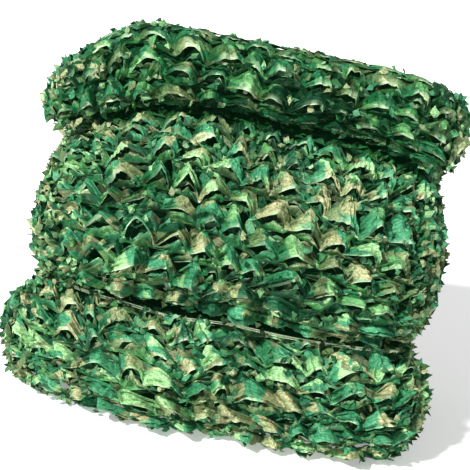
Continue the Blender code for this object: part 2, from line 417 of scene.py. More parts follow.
    def back_outer(self, number: int, share: Array, x: Array) -> Array:
        """Give points on the outside of a back fold, from its underside round to its top.

        Args:
            number: the fold's number.
            share: how far round it.
            x: X of the places.

        Returns:
            The points.
        """
        fold = self.back_folds[number]
        below = 2 * number + 1
        above = below + 2
        y = self.back_nose(fold, x) - fold.reach
        low = self.height(below, x, y) + self.half_gap(below, y)
        top = self.height(above, x, y) - self.half_gap(above, y)
        angle = math.pi * share
        return stacked(x, y + fold.reach * np.sin(angle), mix(low, top, 0.5 - 0.5 * np.cos(angle)))

    def back_inner(self, number: int, share: Array, x: Array) -> Array:
        """Give points on the inside of a back fold, round the rear end of the crease in it.

        Args:
            number: the fold's number.
            share: how far round it.
            x: X of the places.

        Returns:
            The points.
        """
        fold = self.back_folds[number]
        inside = 2 * number + 2
        end = self.back_nose(fold, x) - fold.wall
        angle = math.pi * (share - 0.5)
        gap = self.half_gap(inside, end)
        y = end - gap * (1.0 - np.cos(angle))
        return stacked(x, y, self.height(inside, x, y) + gap * np.sin(angle))

    def layer_ends(self, number: int, side: Side, x: Array) -> tuple[Array, Array]:
        """Give Y where a layer starts and ends, at its folds or at its free end.

        Args:
            number: the layer's number.
            side: the band's side.
            x: X of the places.

        Returns:
            Y of the start and Y of the end.
        """
        start = end = self.free_end + self.unevenness(x, self.free_end_phase + number)
        if number > 0:
            start = self.point(self.stretches[2 * number - 1], side, np.ones_like(x), x)[..., 1]
        if number < self.top_layer:
            end = self.point(self.stretches[2 * number + 1], side, np.zeros_like(x), x)[..., 1]
        return start, end

    def layer(self, number: int, side: Side, share: Array, x: Array) -> Array:
        """Give points of a layer, on the parting under it or over it.

        Args:
            number: the layer's number.
            side: the band's side.
            share: how far along it.
            x: X of the places.

        Returns:
            The points.
        """
        start, end = self.layer_ends(number, side, x)
        y = mix(start, end, share)
        if (side is Side.OUTER) == (number % 2 == 0):
            return stacked(x, y, self.height(number, x, y) + self.half_gap(number, y))
        return stacked(x, y, self.height(number + 1, x, y) - self.half_gap(number + 1, y))

    def point(self, stretch: Stretch, side: Side, share: Array, x: Array) -> Array:
        """Give points of the band on one of its sides.

        Args:
            stretch: the stretch.
            side: the band's side.
            share: how far along it.
            x: X of the places.

        Returns:
            The points.
        """
        if stretch.kind is Kind.LAYER:
            return self.layer(stretch.number, side, share, x)
        if stretch.kind is Kind.FRONT:
            outward = side is Side.OUTER
            return (self.front_outer if outward else self.front_inner)(stretch.number, share, x)
        inward = side is Side.OUTER
        return (self.back_inner if inward else self.back_outer)(stretch.number, share, x)

    def rims(self, stretch: Stretch, share: Array) -> tuple[Array, Array]:
        """Give X of the band's two rims at a place along the band.

        Args:
            stretch: the stretch.
            share: how far along it.

        Returns:
            X of the left and of the right rim.
        """
        if stretch.kind is Kind.FRONT:
            fold = self.front_folds[stretch.number]
            low = self.partings[2 * stretch.number]
            top = self.partings[2 * stretch.number + 2]
            swell = np.sin(math.pi * clamp(share)) ** 0.7
            left = mix(mix(low.left, top.left, share), fold.left, swell)
            return left, mix(mix(low.right, top.right, share), fold.right, swell)
        crease = stretch.number + 1 if stretch.kind is Kind.BACK else (stretch.number + 1) // 2
        line = self.partings[2 * crease]
        return line.left + 0.0 * share, line.right + 0.0 * share

    def shown(self, stretch: Stretch, side: Side, share: Array) -> Array:
        """Say how much of the leaves' relief a place has: none where layers lie on each other.

        Args:
            stretch: the stretch.
            side: the band's side.
            share: how far along it.

        Returns:
            The relief, from 0 for none to 1 for all of it.
        """
        if stretch.kind is Kind.FRONT and side is Side.OUTER:
            fold = self.front_folds[stretch.number]
            return ease((share - 0.03) / 0.12) * (1.0 - fold.hidden * ease((share - fold.fade) / 0.2))
        if stretch.kind is Kind.BACK and side is Side.INNER:
            return ease((share - 0.05) / 0.2) * ease((0.95 - share) / 0.2)
        if stretch.kind is Kind.LAYER and stretch.number == self.top_layer and side is Side.OUTER:
            return np.ones_like(share)
        if stretch == self.stretches[0] and side is Side.INNER:
            return self.shelf_relief * ease((self.shelf_end - share) / 0.12)
        return np.zeros_like(share)

    def section(self, stretch: Stretch, share: Array, across: Array, depth: Array) -> Array:
        """Give points inside the band's cloth.

        Args:
            stretch: the stretch of the band.
            share: how far along the stretch, from 0 to 1.
            across: how far from the left to the right rim, from 0 to 1.
            depth: from the outer side at 0 to the inner side at 1.

        Returns:
            The points, drawn together at the rims and at the free ends.
        """
        left, right = self.rims(stretch, share)
        x = mix(left + self.rim_round, right - self.rim_round, across)
        outer = self.point(stretch, Side.OUTER, share, x)
        inner = self.point(stretch, Side.INNER, share, x)
        amount = self.rim_pinch * clamp(1.0 - np.minimum(x - left, right - x) / self.rim_zone) ** 2
        if stretch in (self.stretches[0], self.stretches[-1]):
            cut_end = self.free_end + self.unevenness(x, self.free_end_phase + stretch.number)
            from_end = cut_end - outer[..., 1]
            close = self.free_end_pinch * clamp(1.0 - from_end / self.free_end_round) ** 2
            amount = np.maximum(amount, close)
        place = mix(0.5 * amount, 1.0 - 0.5 * amount, depth)
        return mix(outer, inner, place[..., None]) + np.array(self.shift)

    def rim(self, stretch: Stretch, end: End, share: Array, turn: Array) -> Array:
        """Give points round a rim, from the outer side at turn 0 to the inner side at 1.

        Args:
            stretch: the stretch.
            end: which rim.
            share: how far along it.
            turn: how far round the rim.

        Returns:
            The points.
        """
        points = self.section(stretch, share, float(end.value) + 0.0 * share, turn)
        reach = self.rims(stretch, share)[end.value] + self.shift[0]
        bulge = 1.0 - (2.0 * turn - 1.0) ** 2
        points[..., 0] = mix(points[..., 0], reach, bulge)
        return points


class PathPart(NamedTuple):
    """A part of a patch's fall: a stretch of the band between two shares, from top to bottom."""

    stretch: Stretch
    start: float
    end: float


@dataclass
class Patch:
    """A patch of the band's surface, measured off in metres down its fall and across it.

    Attributes:
        band: the folded band.
        path: the parts of the band that the patch runs over, from top to bottom.
        side: the side of the band that it lies on.
        calm: the share of the fall above which the leaves lie nearly flat.
        calm_relief: how much relief they keep there.
        bare: the shares of the width between which the top of the patch lies flat, under the cord.
        shaded: the shares of the fall where the cloth goes into a crease at the top and the bottom, and
            takes painted shade.
        deep_crease_lightness: how light the cloth is painted deep in a crease, under painted shade.
        samples: how many places are measured along each middle line.
        step: the share of the fall and width over which a slope is read.
        fall_table: running length down the patch.
        across_table: running length across it.
    """

    band: FoldedBand
    path: tuple[PathPart, ...]
    side: Side = Side.OUTER
    calm: float = -1.0
    calm_relief: float = 0.16
    bare: tuple[float, float] = (2.0, 2.0)
    shaded: tuple[float, float] = (-1.0, 2.0)
    deep_crease_lightness: float = 0.08
    samples: int = 800
    step: float = 1e-3
    fall_table: Array = field(init=False)
    across_table: Array = field(init=False)

    def __post_init__(self) -> None:
        """Measure the patch along its middle lines."""
        shares = np.linspace(0.0, 1.0, self.samples)
        half = np.full_like(shares, 0.5)
        self.fall_table = self.lengths(self.surface(shares, half))
        self.across_table = self.lengths(self.surface(half, shares))

    @staticmethod
    def lengths(points: Array) -> Array:
        """Give the running length of a line of points."""
        steps = np.linalg.norm(np.diff(points, axis=0), axis=-1)
        return np.concatenate([[0.0], np.cumsum(steps)])

    @property
    def fall(self) -> float:
        """Length of the patch down its middle."""
        return float(self.fall_table[-1])

    @property
    def width(self) -> float:
        """Length of the patch across its middle."""
        return float(self.across_table[-1])

    def place(self, stretch: Stretch, share: Array, over: Array, core: bool) -> Array:
        """Give points of a stretch on the patch, or in the cloth behind it for a core."""
        depth = 0.0 if self.side is Side.OUTER else 1.0
        return self.band.section(stretch, share, over, np.full_like(share, 0.5 if core else depth))

    def along(self, down: Array, read: Callable[[Stretch, Array], Array]) -> Array:
        """Read a value of the band at each share of the fall, whichever stretch that lies in.

        Args:
            down: shares of the fall.
            read: gives the value from a stretch and a share of it.

        Returns:
            The values.
        """
        spot = clamp(down) * len(self.path)
        part_of = np.minimum(spot.astype(int), len(self.path) - 1)
        total: Array = 0.0
        for number, part in enumerate(self.path):
            share = mix(part.start, part.end, clamp(spot - number))
            value = read(part.stretch, share)
            mask = part_of == number
            total = total + value * (mask if value.ndim == mask.ndim else mask[..., None])
        return total

    def surface(self, down: Array, over: Array) -> Array:
        """Give points of the patch at shares of its fall and width."""
        return self.along(down, lambda stretch, share: self.place(stretch, share, over, core=False))

    def core(self, down: Array, over: Array) -> Array:
        """Give points in the cloth behind the patch."""
        return self.along(down, lambda stretch, share: self.place(stretch, share, over, core=True))

    def shares(self, fall: Array, across: Array) -> tuple[Array, Array]:
        """Turn metres into shares of the fall and of the width."""
        shares = np.linspace(0.0, 1.0, self.samples)
        return np.interp(fall, self.fall_table, shares), np.interp(across, self.across_table, shares)

    def at(self, fall: Array, across: Array) -> tuple[Array, Array]:
        """Give points and outward normals at places measured in metres.

        Args:
            fall: how far down the patch.
            across: how far across it.

        Returns:
            The points and the normals.
        """
        down, over = self.shares(fall, across)
        points = self.surface(down, over)
        step = self.step
        along_fall = self.surface(clamp(down + step), over) - self.surface(clamp(down - step), over)
        along_width = self.surface(down, clamp(over + step)) - self.surface(down, clamp(over - step))
        normals = unit(np.cross(along_fall, along_width))
        outward = np.sum(normals * (points - self.core(down, over)), axis=-1, keepdims=True)
        return points, np.where(outward < 0.0, -normals, normals)

    def relief(self, fall: Array, across: Array) -> Array:
        """Say how much of the leaves' relief a place has.

        Args:
            fall: how far down the patch.
            across: how far across it.

        Returns:
            The relief, from 0 to 1.
        """
        down, over = self.shares(fall, across)
        shown = self.along(down, lambda stretch, share: self.band.shown(stretch, self.side, share))
        bare = ease((over - self.bare[0]) / 0.05) * ease((self.bare[1] - over) / 0.05)
        raised = mix(self.calm_relief, 1.0, ease((down - self.calm) / 0.16))
        return shown * raised * mix(1.0, ease(down / 0.3), bare)

    def clean(self, fall: Array, across: Array) -> Array:
        """Say how light the cloth is painted: painted shade darkens it where it goes into a crease.

        Args:
            fall: how far down the patch.
            across: how far across it.

        Returns:
            How light it is painted, up to 1.
        """
        down, _ = self.shares(fall, across)
        out_of_top = ease((down - self.shaded[0]) / 0.07 + 0.5)
        out_of_bottom = ease((self.shaded[1] - down) / 0.07 + 0.5)
        return self.deep_crease_lightness + (1.0 - self.deep_crease_lightness) * out_of_top * out_of_bottom


@dataclass
class RimPatch(Patch):
    """A patch round one rim of the band, from its outer to its inner side."""

    end: End = End.LEFT
    tuck: float = 0.35
    core_inset: float = 0.1

    def place(self, stretch: Stretch, share: Array, over: Array, core: bool) -> Array:
        """Give points round the rim, or in the cloth behind it for a core.

        Args:
            stretch: the stretch.
            share: how far along it.
            over: how far round the rim.
            core: whether points in the cloth are meant.

        Returns:
            The points.
        """
        if core:
            inward = abs(self.end.value - self.core_inset) + 0.0 * share
            return self.band.section(stretch, share, inward, np.full_like(share, 0.5))
        return self.band.rim(stretch, self.end, share, over)

    def relief(self, fall: Array, across: Array) -> Array:
        """Say how much of the leaves' relief a place has: less beside the next layer."""
        _, turn = self.shares(fall, across)
        return mix(self.tuck, 1.0, np.sin(math.pi * turn))


@dataclass
class FreeEndPatch(Patch):
    """A patch over a free end of the band, from its upper to its lower side."""

    share: float = 0.0
    swell: float = 0.006
    tuck: float = 0.45
    core_depth: float = 0.03

    def wall(self, down: Array, over: Array, outward: float) -> Array:
        """Give points on the cut end of the band, moved outwards.

        Args:
            down: shares of the way down.
            over: shares of the width.
            outward: how far the points are moved out.

        Returns:
            The points.
        """
        depth = 1.0 - down if self.share == 0.0 else down
        points = self.band.section(self.path[0].stretch, np.full_like(over, self.share), over, depth)
        points[..., 1] += outward + self.swell * (1.0 - (2.0 * down - 1.0) ** 2)
        return points

    def surface(self, down: Array, over: Array) -> Array:
        """Give points of the patch at shares of its fall and width."""
        return self.wall(down, over, 0.0)

    def core(self, down: Array, over: Array) -> Array:
        """Give points in the cloth behind the patch."""
        return self.wall(down, over, -self.core_depth)

    def relief(self, fall: Array, across: Array) -> Array:
        """Say how much of the leaves' relief a place has: less beside the next layer."""
        down, _ = self.shares(fall, across)
        return mix(self.tuck, 1.0, np.sin(math.pi * down))


class Leaf(NamedTuple):
    """Random shape of the leaves of a patch, one value for each leaf; heights in metres."""

    hood: Array
    top: Array
    lip: Array
    root: Array
    slit: Array
    tongue_up: Array
    tongue_edge: Array
    tongue_twist: Array
    tongue_peak: Array
    round: Array
    ridge_top: Array
    ridge_lip: Array
    left_steep: Array
    right_steep: Array
    left_eye: Array
    right_eye: Array
    flare: Array
    phase: Array
    left_tone: Array
    right_tone: Array


class Knots(NamedTuple):
    """Where the knots lie on a patch, how tall the eye under each is and how deep they sit."""

    down: Array
    over: Array
    eye: Array
    sink: Array


@dataclass(frozen=True)
class CutStyle:
    """How the cuts of a region have opened.

    Heights are in metres, outwards from the smooth form. Places of edges are shares of a row, from
    the knots above at 0 to the knots below at 1.

    Attributes:
        pitch: width of a leaf in metres.
        row: height of a row in metres.
        stretch: how many rows there are where the face looks down, as a share of those elsewhere.
        hood: how far a hood's lip stands out.
        root: how far out hood and tongue meet in the middle of a leaf.
        knot: how far out the knots lie, inwards where it is negative.
        junction: how far out a hood's upper edge lies beside a knot.
        top: place of the hood's upper edge in the middle of a leaf.
        lip: place of the hood's lip there.
        seam: place of the hood's upper edge beside a knot.
        eye_height: half the height of the dark eye under a knot.
        eye_width: how far the eye reaches from its knot, as a share of the pitch.
        uncut: share of a leaf's half width that isn't cut, beside its knots.
        knot_reach: how far the edges overlap at the knots.
        slit: how far a tongue's free edge lies from the lip above it.
        tongue_up: how far the tab on that edge reaches up.
        tongue_edge: how far that edge stands out, as a share of the hood above.
        tongue_bulge: how far a tongue swells out between its edges, as a share of the hood above.
        tongue_twist: how far a tongue's two ends are turned apart.
        turn: share of a hood's height that is turned over at its lip.
        curl: how far the turned part bends back.
        slope: how light a hood's cloth is painted above the turned part, a painted shade.
        pale: how pale the turned part is, partly the cloth's other side and partly a painted highlight.
        round: how rounded a lip is, from pointed at 0 to an arch at 1.
        flare: how late a hood's middle rises towards its lip.
        slant: how far a hood's ridge runs sideways, as a share of the pitch.
        scatter: how far the knots lie off an even grid, as a share of a cell.
        lobe: depth of the waves in a lip.
        pleat: depth of the pleats that run out from the knots.
        crumple: depth of the crossed creases.
        crumple_step: distance between the crossed creases in metres.
        across: number of faces across a leaf.
        tongue_lines: lines of points on a tongue, from its free edge at 0.
        hood_lines: lines of points on a hood, from its upper edge at 0.
        bunched: shares of the width, at the left and the right, where the hoods stay small.
        depth: how far the whole ply is moved outwards.
        ply: the shift of the printed pattern.
        light: how much lighter all the cloth is painted.
        flat: how flat-topped a lip is.
        drift: how far the columns of leaves move sideways on their way down.
        lean: how far the rows of leaves come down on their way across.
        one_sided: how much of a lip's paleness, partly a painted highlight, is left off its shaded right
            half.
        tongue_light: how light a tongue is painted; lower values paint it in shade.
    """

    pitch: float = 0.0575
    row: float = 0.0475
    stretch: float = 0.66
    hood: float = 0.0215
    root: float = 0.006
    knot: float = -0.004
    junction: float = -0.009
    top: float = 0.15
    lip: float = 0.63
    seam: float = 0.30
    eye_height: float = 0.22
    eye_width: float = 0.37
    uncut: float = 0.10
    knot_reach: float = 0.01
    slit: float = 0.23
    tongue_up: float = 0.05
    tongue_edge: float = 0.22
    tongue_bulge: float = 0.28
    tongue_twist: float = 0.004
    turn: float = 0.26
    curl: float = 0.10
    slope: float = 0.95
    pale: float = 0.85
    round: float = 0.12
    flare: float = 1.3
    slant: float = 0.10
    scatter: float = 0.17
    lobe: float = 0.02
    pleat: float = 0.0038
    crumple: float = 0.0036
    crumple_step: float = 0.015
    across: int = 20
    tongue_lines: tuple[float, ...] = (0.0, 0.12, 0.30, 0.52, 0.76, 1.0)
    hood_lines: tuple[float, ...] = (0.0, 0.12, 0.26, 0.44, 0.60, 0.76, 0.88, 1.0)
    bunched: tuple[float, float] = (0.13, 0.07)
    depth: float = 0.0
    ply: PrintShift = PrintShift.LEAVES
    light: float = 0.0
    flat: float = 0.0
    drift: float = 0.0
    lean: float = 0.0
    one_sided: float = 0.85
    tongue_light: float = 1.0


class LeafMesh(NamedTuple):
    """A mesh of leaves with what its finish reads at each point.

    Attributes:
        points: the points.
        faces: the numbers of each face's points.
        cloth: where a point lies on the printed cloth, and which shift of the print it has.
        fan: where it lies in the creases that run out from the knots.
        cut: whether it is on a cut edge and how much of the cloth's other side shows, both partly a
        painted highlight, and how light it is painted.
    """

    points: Array
    faces: Array
    cloth: Array
    fan: Array
    cut: Array


def joined(meshes: Sequence[LeafMesh]) -> LeafMesh:
    """Join several meshes of leaves into one.

    Args:
        meshes: the meshes.

    Returns:
        One mesh of all their points and faces.
    """
    starts = np.cumsum([0] + [len(mesh.points) for mesh in meshes[:-1]])
    renumbered = [mesh._replace(faces=mesh.faces + start) for mesh, start in zip(meshes, starts)]
    return LeafMesh(*[np.concatenate(values) for values in zip(*renumbered)])


def leaf_mesh(points: Array, faces: Array, cloth: Array, fan: Array, cut: Array) -> LeafMesh:
    """Make a mesh of grids of points and of what the finish reads at them."""
    flat = (-1, 3)
    return LeafMesh(points.reshape(flat), faces, cloth.reshape(flat), fan.reshape(flat), cut.reshape(flat))


def grid_faces(strips: int, lines: int, columns: int) -> Array:
    """Give the quads of several separate grids of points that lie one after another.

    Args:
        strips: the number of grids.
        lines: lines of points in each.
        columns: points in each line.

    Returns:
        Four point numbers for each face.
    """
    index = np.arange(strips * lines * columns).reshape(strips, lines, columns)
    corners = (index[:, :-1, :-1], index[:, :-1, 1:], index[:, 1:, 1:], index[:, 1:, :-1])
    return np.stack(corners, axis=-1).reshape(-1, 4)


@dataclass
class LeafRows:
    """Rows of opened cuts over a patch.

    In each row a zigzag ribbon stands up in a hood between its knots, and a lens-shaped tongue
    spans the knots above it. The two meet in the middle of the leaf and gape below the knots.

    Attributes:
        patch: the patch that they lie on.
        style: how their cuts have opened.
        draw: the source of random values.
        print_move: how far the print is moved on the tongues.
        least_tilt: how far upwards a leaf that faces sideways is turned.
        upward: Z of a normal from which hoods get lower, and over how much of it.
        downward: Z of a normal from which rows get taller, and over how much of it.
        rows: number of rows.
        leaves: number of leaves in a row.
        edges: how far down the rows start and end.
        pitch: width of a leaf.
        leaf: the leaf's number at each column of points.
        crossing: how far across its leaf the column lies.
        tent: 0 at the knots and 1 in the middle of a leaf.
        open: how far open the cut is.
        gape: how much of the eye's height the column has.
        seam: where the hood and the tongue meet.
        half_eye: half of the eye's height.
        arch: how far down the lip reaches.
        per: the leaf's shape.
        knot: the knots.
    """

    patch: Patch
    style: CutStyle
    draw: np.random.Generator
    print_move: tuple[float, float] = (0.037, 0.021)
    least_tilt: float = 0.25
    upward: tuple[float, float] = (0.25, 0.50)
    downward: tuple[float, float] = (0.40, 0.70)
    rows: int = field(init=False)
    leaves: int = field(init=False)
    edges: Array = field(init=False)
    pitch: float = field(init=False)
    leaf: Array = field(init=False)
    crossing: Array = field(init=False)
    tent: Array = field(init=False)
    open: Array = field(init=False)
    gape: Array = field(init=False)
    seam: Array = field(init=False)
    half_eye: Array = field(init=False)
    arch: Array = field(init=False)
    per: Leaf = field(init=False)
    knot: Knots = field(init=False)

    def __post_init__(self) -> None:
        """Share out the rows and the leaves in them."""
        down = np.linspace(0.0, self.patch.fall, 200)
        middle = np.full_like(down, 0.5 * self.patch.width)
        weight = mix(1.0, self.style.stretch, self.facing_down(down, middle))
        reach = np.concatenate([[0.0], np.cumsum(0.5 * (weight[1:] + weight[:-1]) * np.diff(down))])
        self.rows = max(1, round(reach[-1] / self.style.row))
        self.leaves = max(1, round(self.patch.width / self.style.pitch))
        self.edges = np.interp(np.linspace(0.0, reach[-1], self.rows + 1), reach, down)
        self.pitch = self.patch.width / self.leaves

    def vary(self, middle: float, spread: float) -> Array:
        """Draw a value for each leaf."""
        return middle + spread * self.draw.normal(size=(self.rows, self.leaves)).clip(-2.0, 2.0)

    def leaf_shapes(self) -> Leaf:
        """Draw the shape of each leaf.

        Returns:
            A value for each row and leaf in every field.
        """
        style = self.style
        shape = (self.rows, self.leaves)
        down = 0.5 * (self.edges[:-1] + self.edges[1:])[:, None] + np.zeros(shape)
        over = (np.arange(self.leaves)[None, :] + 0.5) * self.pitch + np.zeros(shape)
        under = self.facing_down(down, over)
        upward = clamp((self.patch.at(down, over)[1][..., 2] - self.upward[0]) / self.upward[1])
        bunched = self.bunching((np.arange(self.leaves) + 0.5) / self.leaves)
        last = 0.5 + 0.5 * ease((self.patch.fall - down) / (1.6 * style.row) - 0.2)
        hood = self.vary(style.hood, 0.38 * style.hood) * (1.0 + 0.45 * under - 0.30 * upward)
        return Leaf(
            hood=hood * (1.0 - 0.5 * bunched) * last,
            top=self.vary(style.top, 0.06) - 0.12 * upward,
            lip=self.vary(style.lip, 0.09) - 0.08 * under + 0.08 * upward,
            root=self.vary(style.root, 0.003),
            slit=self.vary(style.slit, 0.05).clip(0.03),
            tongue_up=self.vary(style.tongue_up, 0.05).clip(0.0),
            tongue_edge=self.vary(style.tongue_edge, 0.16) - 0.2 * under,
            tongue_twist=self.vary(0.0, style.tongue_twist),
            tongue_peak=self.vary(0.5, 0.12),
            round=self.vary(style.round, 0.25).clip(0.0, 1.0),
            ridge_top=(self.vary(0.5, 0.08) - style.slant).clip(0.22, 0.78),
            ridge_lip=(self.vary(0.5, 0.07) + style.slant).clip(0.22, 0.78),
            left_steep=self.vary(1.10, 0.20).clip(0.7),
            right_steep=self.vary(1.45, 0.25).clip(0.8),
            left_eye=self.vary(style.eye_width, 0.06).clip(0.12, 0.42),
            right_eye=self.vary(style.eye_width, 0.06).clip(0.12, 0.42),
            flare=self.vary(style.flare, 0.30).clip(0.6),
            phase=self.draw.uniform(0.0, 2.0 * math.pi, shape),
            # A random tone for each half of a leaf, painted lighter where the face looks down to lift its
            # shade.
            left_tone=self.draw.uniform(0.0, 1.0, shape) + 0.15 * under,
            right_tone=self.draw.uniform(0.0, 1.0, shape) + 0.15 * under,
        )

    def bunching(self, share: Array) -> Array:
        """Say how much small leaves take the place of the hoods at shares of the width."""
        left, right = self.style.bunched
        return np.maximum(ease((left - share) / 0.08 + 0.5), ease((share + right - 1.0) / 0.06 + 0.5))

    def facing_down(self, down: Array, over: Array) -> Array:
        """Say how far places are turned downwards, from 0 for upwards to 1."""
        return clamp((self.downward[0] - self.patch.at(down, over)[1][..., 2]) / self.downward[1])

    def knots(self) -> Knots:
        """Draw the places of the knots and the eyes under them.

        Returns:
            A value for each knot in every field, in rows from the top.
        """
        shape = (self.rows + 1, self.leaves + 1)
        spread = self.draw.normal(size=(4, *shape)).clip(-2.0, 2.0)
        style = self.style
        down = self.edges[:, None] + style.scatter * style.row * spread[0]
        over = np.arange(self.leaves + 1)[None, :] * self.pitch + style.scatter * self.pitch * spread[1]
        slope = style.lean * np.sin(math.pi * clamp(down / self.patch.fall))
        down = down + slope * (over - 0.5 * self.patch.width)
        inside = np.sin(math.pi * clamp(over / self.patch.width))
        over = over + style.drift * (down - 0.5 * self.patch.fall) * inside
        over[:, 0] = 0.0
        over[:, -1] = self.patch.width
        eye = (style.eye_height * (1.0 + 0.35 * spread[2])).clip(0.02)
        return Knots(down, over, eye, 0.002 * spread[3])

    def build(self) -> LeafMesh:
        """Build the rows as one mesh.

        Returns:
            The tongues and the hoods as one mesh.
        """
        columns = self.leaves * self.style.across + 1
        column = np.arange(columns)
        self.leaf = np.minimum(column // self.style.across, self.leaves - 1)
        self.crossing = (column / self.style.across - self.leaf)[None, None, :]
        self.tent = 1.0 - np.abs(2.0 * self.crossing - 1.0)
        self.open = clamp((self.tent - self.style.uncut) / (1.0 - self.style.uncut))
        self.per = Leaf(*[value[:, None, self.leaf] for value in self.leaf_shapes()])
        self.knot = self.knots()
        eyes = self.knot.eye[:-1]
        near = np.where(self.crossing < 0.5, eyes[:, None, self.leaf], eyes[:, None, self.leaf + 1])
        reach = np.where(self.crossing < 0.5, self.per.left_eye, self.per.right_eye)
        self.gape = clamp(1.0 - 0.5 * self.tent / reach) ** 0.85
        self.seam = mix(self.style.seam, self.per.top, np.sin(math.pi * clamp(self.crossing)))
        self.half_eye = self.gape * near
        fall_off = np.where(self.crossing < 0.5, 0.95 * self.per.left_steep, 0.45 * self.per.right_steep)
        self.arch = mix(self.open ** fall_off, np.sin(0.5 * math.pi * self.open), self.per.round)
        self.arch = mix(self.arch, clamp(1.7 * self.open), self.style.flat)
        return joined([self.tongues(), self.hoods()])

    @staticmethod
    def above(values: Array) -> Array:
        """Read values of the row above."""
        return np.concatenate([values[:1], values[:-1]])

    def between(self, values: Array, lower: int, aside: Array) -> Array:
        """Read a value of the knots between two neighbours, in the knots' row or the one below."""
        rows = slice(lower, self.rows + lower)
        return mix(values[rows][:, None, self.leaf], values[rows][:, None, self.leaf + 1], aside)

    def placed(self, share: Array, aside: Array) -> tuple[Array, Array]:
        """Give how far down and across the patch a share of the row and of the pitch lies.

        Args:
            share: how far down the row.
            aside: how far across the leaf.

        Returns:
            Metres down the patch and across it.
        """
        down = mix(self.between(self.knot.down, 0, aside), self.between(self.knot.down, 1, aside), share)
        over = mix(self.between(self.knot.over, 0, aside), self.between(self.knot.over, 1, aside), share)
        return down, over

    def folds(self, lines: int) -> Array:
        """Draw how far each line of each leaf stands out or in, as sharp pleats.

        Args:
            lines: how many lines of points the leaf has.

        Returns:
            The pleats at each point.
        """
        size = self.draw.normal(0.0, 1.2, (2, self.rows, lines, self.leaves)).clip(-2.2, 2.2)
        left, right = size[:, :, :, self.leaf]
        return mix(left, right, ease((self.crossing - 0.38) / 0.24))

    def crumples(self, down: Array, over: Array) -> Array:
        """Give crossed sharp ridges and valleys, turned another way on each leaf.

        Args:
            down: how far down the patch.
            over: how far across it.

        Returns:
            How far each point is raised.
        """
        total = 0.0
        each = (self.rows, 1, self.leaves)
        for size in (1.0, 0.6):
            angle = self.draw.uniform(0.0, math.pi, each)[:, :, self.leaf]
            width = self.draw.uniform(0.8, 1.4, each)[:, :, self.leaf]
            start = self.draw.uniform(0.0, 1.0, each)[:, :, self.leaf]
            step = size * self.style.crumple_step * width
            course = (np.cos(angle) * over + np.sin(angle) * down) / step + start
            total = total + size * (np.abs((course % 1.0) - 0.5) * 4.0 - 1.0)
        return self.style.crumple * total * ease(self.tent / 0.3)

    def tongues(self) -> LeafMesh:
        """Build the lens-shaped tongues, each between two knots of one row.

        Returns:
            The mesh of all tongues.
        """
        style = self.style
        per = self.per
        crossing = self.crossing
        drop = np.array(style.tongue_lines)[None, :, None]
        aside = self.warped(mix(self.above(per.ridge_lip), per.ridge_top, drop))
        span = self.above(self.arch)

        # The free edge, with a tab and a notch in it.
        tab = ease(1.6 - 4.5 * np.abs(crossing - per.tongue_peak))
        gap = per.slit * (1.35 - 0.9 * ease((crossing - 0.45) / 0.25))
        top = mix(-0.4 * style.knot_reach, self.above(per.lip) - 1.0 + gap, span ** 1.5)
        notch = ease(1.0 - np.abs(crossing - per.tongue_peak + 0.24) / 0.09)
        waves = 0.03 * np.sin(5.0 * math.pi * crossing + per.phase)
        top = top - (per.tongue_up * tab + waves - 0.16 * notch) * span
        share = mix(top, self.seam - self.half_eye, drop)
        down, over = self.placed(share, aside)

        # How far out the free edge and the held one stand, and what lies between them.
        sunk = self.between(self.knot.sink, 0, aside) + style.knot
        hood = self.above(per.hood)
        twist = per.tongue_twist * np.cos(math.pi * crossing)
        free = mix(sunk, hood * per.tongue_edge + twist, span ** 0.7)
        held = mix(per.root, sunk, self.gape)
        rise = mix(free, held, drop) + style.tongue_bulge * hood * np.sin(math.pi * drop) * span
        pleats = style.pleat * self.folds(len(style.tongue_lines)) * ease(self.tent / 0.35)
        rise = rise + pleats * np.sin(math.pi * drop)
        rise = rise + 1.8 * self.crumples(down, over) * (1.0 - drop * drop)

        # Painted light on the free edge and its right end, painted shade in the hollow under it; where lit,
        # a little pale other side as a painted highlight.
        right = ease((crossing - 0.60) / 0.25)
        lit = (1.0 - ease((drop - 0.12 - 0.25 * right) / 0.5)) * mix(0.20, 1.0, np.maximum(tab, 0.8 * right))
        lit = mix(0.22, 1.0, lit) * style.tongue_light
        fan = stacked(0.5 * drop + 0.1 * aside, aside, per.phase)
        look = stacked(drop == 0.0, 0.14 * lit, lit)
        return self.mesh(down, over, rise, fan, look, self.print_move)

    def warped(self, ridge: Array) -> Array:
        """Move the middle column of each leaf to its ridge.

        Args:
            ridge: how far across the leaf its ridge lies.

        Returns:
            How far across its leaf each column lies then.
        """
        left = 2.0 * self.crossing * ridge
        right = ridge + (2.0 * self.crossing - 1.0) * (1.0 - ridge)
        return np.where(self.crossing < 0.5, left, right)

    def hoods(self) -> LeafMesh:
        """Build the zigzag ribbons that stand up in a hood between two knots.

        Returns:
            The mesh of all hoods.
        """
        style = self.style
        per = self.per
        crossing = self.crossing
        drop = np.array(style.hood_lines)[None, :, None]
        aside = self.warped(mix(per.ridge_top, per.ridge_lip, drop))
        rounded = np.sin(0.5 * math.pi * self.open)
        fall_off = np.where(crossing < 0.5, per.left_steep, 0.60 * per.right_steep)
        peak = mix(self.open ** fall_off, rounded, per.round)
        peak = mix(peak, clamp(1.7 * self.open), style.flat)

        # The lip, which reaches down to the knots on both sides.
        lip = mix(1.0 + style.knot_reach, per.lip, self.arch)
        waves = style.lobe * np.sin(4.0 * math.pi * crossing + per.phase)
        lip = lip + waves * np.sin(math.pi * clamp(crossing))
        share = mix(self.seam + self.half_eye, lip, drop)
        down, over = self.placed(share, aside)

